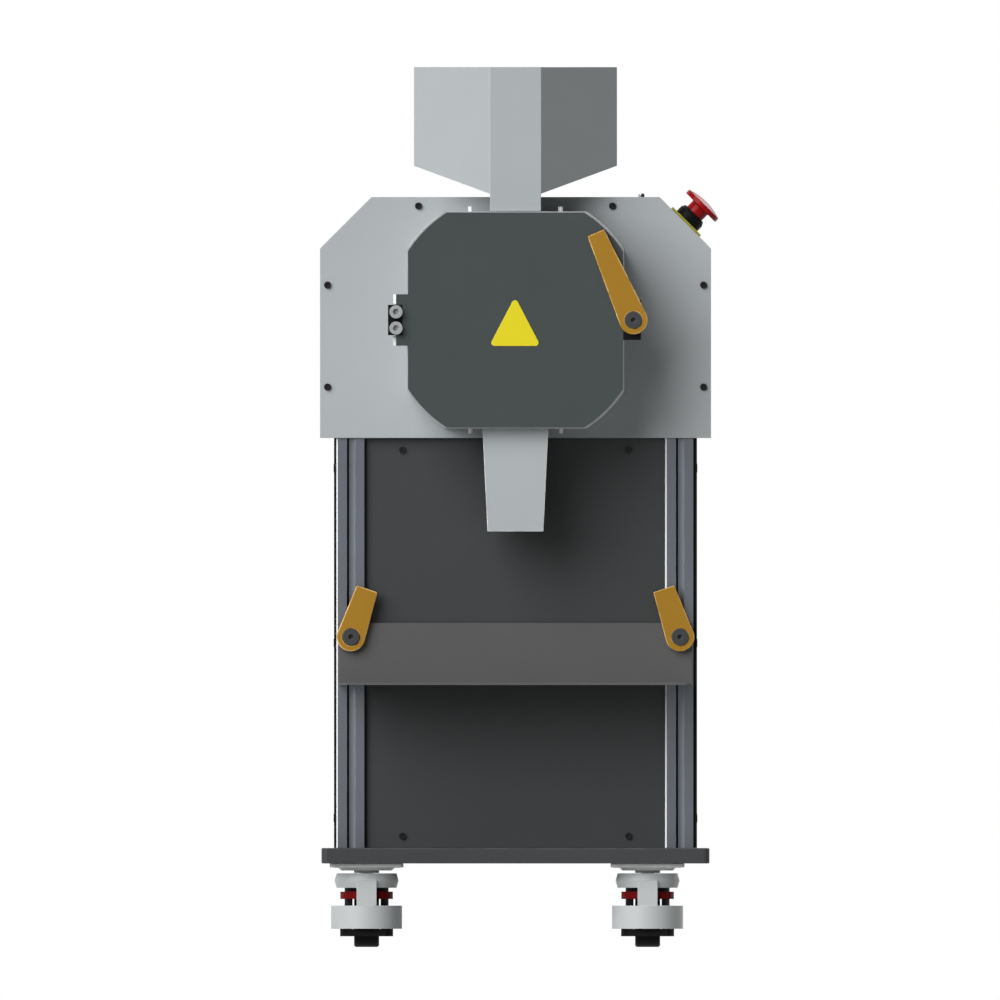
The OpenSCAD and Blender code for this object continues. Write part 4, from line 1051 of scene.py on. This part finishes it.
def pale_floor(scene):
    """A pale floor that shows as white and keeps the machine's shadow."""
    reach = FLOOR_REACH
    corners = [(-reach, -reach, 0), (reach, -reach, 0), (reach, reach, 0), (-reach, reach, 0)]
    mesh = bpy.data.meshes.new("floor")
    mesh.from_pydata(corners, [], [(0, 1, 2, 3)])
    floor = bpy.data.objects.new("floor", mesh)
    scene.collection.objects.link(floor)
    pale = bpy.data.materials.new("Pale floor")
    pale.use_nodes = True
    tree = pale.node_tree
    shader = tree.nodes["Principled BSDF"]
    shader.inputs["Base Color"].default_value = (FLOOR_GREY, FLOOR_GREY, FLOOR_GREY, 1)
    shader.inputs["Roughness"].default_value = FLOOR_ROUGHNESS
    shader.inputs["Emission Color"].default_value = (1, 1, 1, 1)
    join(tree, white_for_viewers(tree, FLOOR_GLOW, 0.0), shader.inputs["Emission Strength"])
    mesh.materials.append(pale)


def white_room(scene):
    """A background that shows as white and lights the machine only a little."""
    world = bpy.data.worlds.new("White room")
    world.use_nodes = True
    scene.world = world
    tree = world.node_tree
    sky = tree.nodes["Background"]
    sky.inputs["Color"].default_value = (1, 1, 1, 1)
    join(tree, white_for_viewers(tree, SKY_SEEN, SKY_LIT), sky.inputs["Strength"])


def soft_lamps(scene):
    """Wide suns that look at the machine's middle."""
    for name, (place, strength, spread) in LAMPS.items():
        lamp = bpy.data.lights.new(name, "SUN")
        lamp.energy = strength
        lamp.angle = math.radians(spread)
        light = bpy.data.objects.new(name, lamp)
        scene.collection.objects.link(light)
        light.location = place
        towards = LAMP_TARGET - Vector(place)
        light.rotation_euler = towards.to_track_quat("-Z", "Y").to_euler()


def front_camera(scene):
    """The camera of the straight front view."""
    lens = bpy.data.cameras.new("front_camera")
    lens.type = "ORTHO"
    lens.ortho_scale = PICTURE_WIDTH
    lens.clip_end = CAMERA_REACH
    camera = bpy.data.objects.new("front_camera", lens)
    scene.collection.objects.link(camera)
    camera.location = (PICTURE_MIDDLE_X, -CAMERA_DISTANCE, PICTURE_MIDDLE_Z)
    camera.rotation_euler = (math.pi / 2, 0, 0)
    scene.camera = camera


class OBJECT_OT_granulator_stage(GranulatorOperator, bpy.types.Operator):
    """Set up the pale floor, the soft light and the camera of the straight front view"""

    bl_idname = "object.granulator_stage"
    bl_label = "Stage"

    def execute(self, context):
        scene = context.scene
        scene.view_settings.view_transform = "Standard"
        pale_floor(scene)
        white_room(scene)
        soft_lamps(scene)
        front_camera(scene)
        return {"FINISHED"}


class VIEW3D_PT_granulator(bpy.types.Panel):
    """Lists the steps that build the machine's looks"""

    bl_label = "Granulator"
    bl_idname = "VIEW3D_PT_granulator"
    bl_space_type = "VIEW_3D"
    bl_region_type = "UI"
    bl_category = "Granulator"

    def draw(self, context):
        for operator in OPERATORS:
            self.layout.operator(operator.bl_idname)
        for group in (context.scene.granulator_colours, context.scene.granulator_sizes):
            box = self.layout.box()
            for name in type(group).__annotations__:
                box.prop(group, name)


OPERATORS = (
    OBJECT_OT_granulator_frame, OBJECT_OT_granulator_housing, OBJECT_OT_granulator_feed,
    OBJECT_OT_granulator_chamber, OBJECT_OT_granulator_door, OBJECT_OT_granulator_sign,
    OBJECT_OT_granulator_shelf, OBJECT_OT_granulator_stop, OBJECT_OT_granulator_casters,
    OBJECT_OT_granulator_screws, OBJECT_OT_granulator_stage)
CLASSES = (GranulatorColours, GranulatorSizes, *OPERATORS, VIEW3D_PT_granulator)


def register():
    """Registers the classes and the scene's settings."""
    for item in CLASSES:
        bpy.utils.register_class(item)
    bpy.types.Scene.granulator_colours = bpy.props.PointerProperty(type=GranulatorColours)
    bpy.types.Scene.granulator_sizes = bpy.props.PointerProperty(type=GranulatorSizes)


def unregister():
    """Takes back what register did."""
    del bpy.types.Scene.granulator_sizes
    del bpy.types.Scene.granulator_colours
    for item in reversed(CLASSES):
        bpy.utils.unregister_class(item)


def main():
    """Builds everything in order."""
    register()
    make_materials(bpy.context.scene.granulator_colours)
    for operator in OPERATORS:
        group, name = operator.bl_idname.split(".")
        getattr(getattr(bpy.ops, group), name)()


if __name__ == "__main__":
    main()
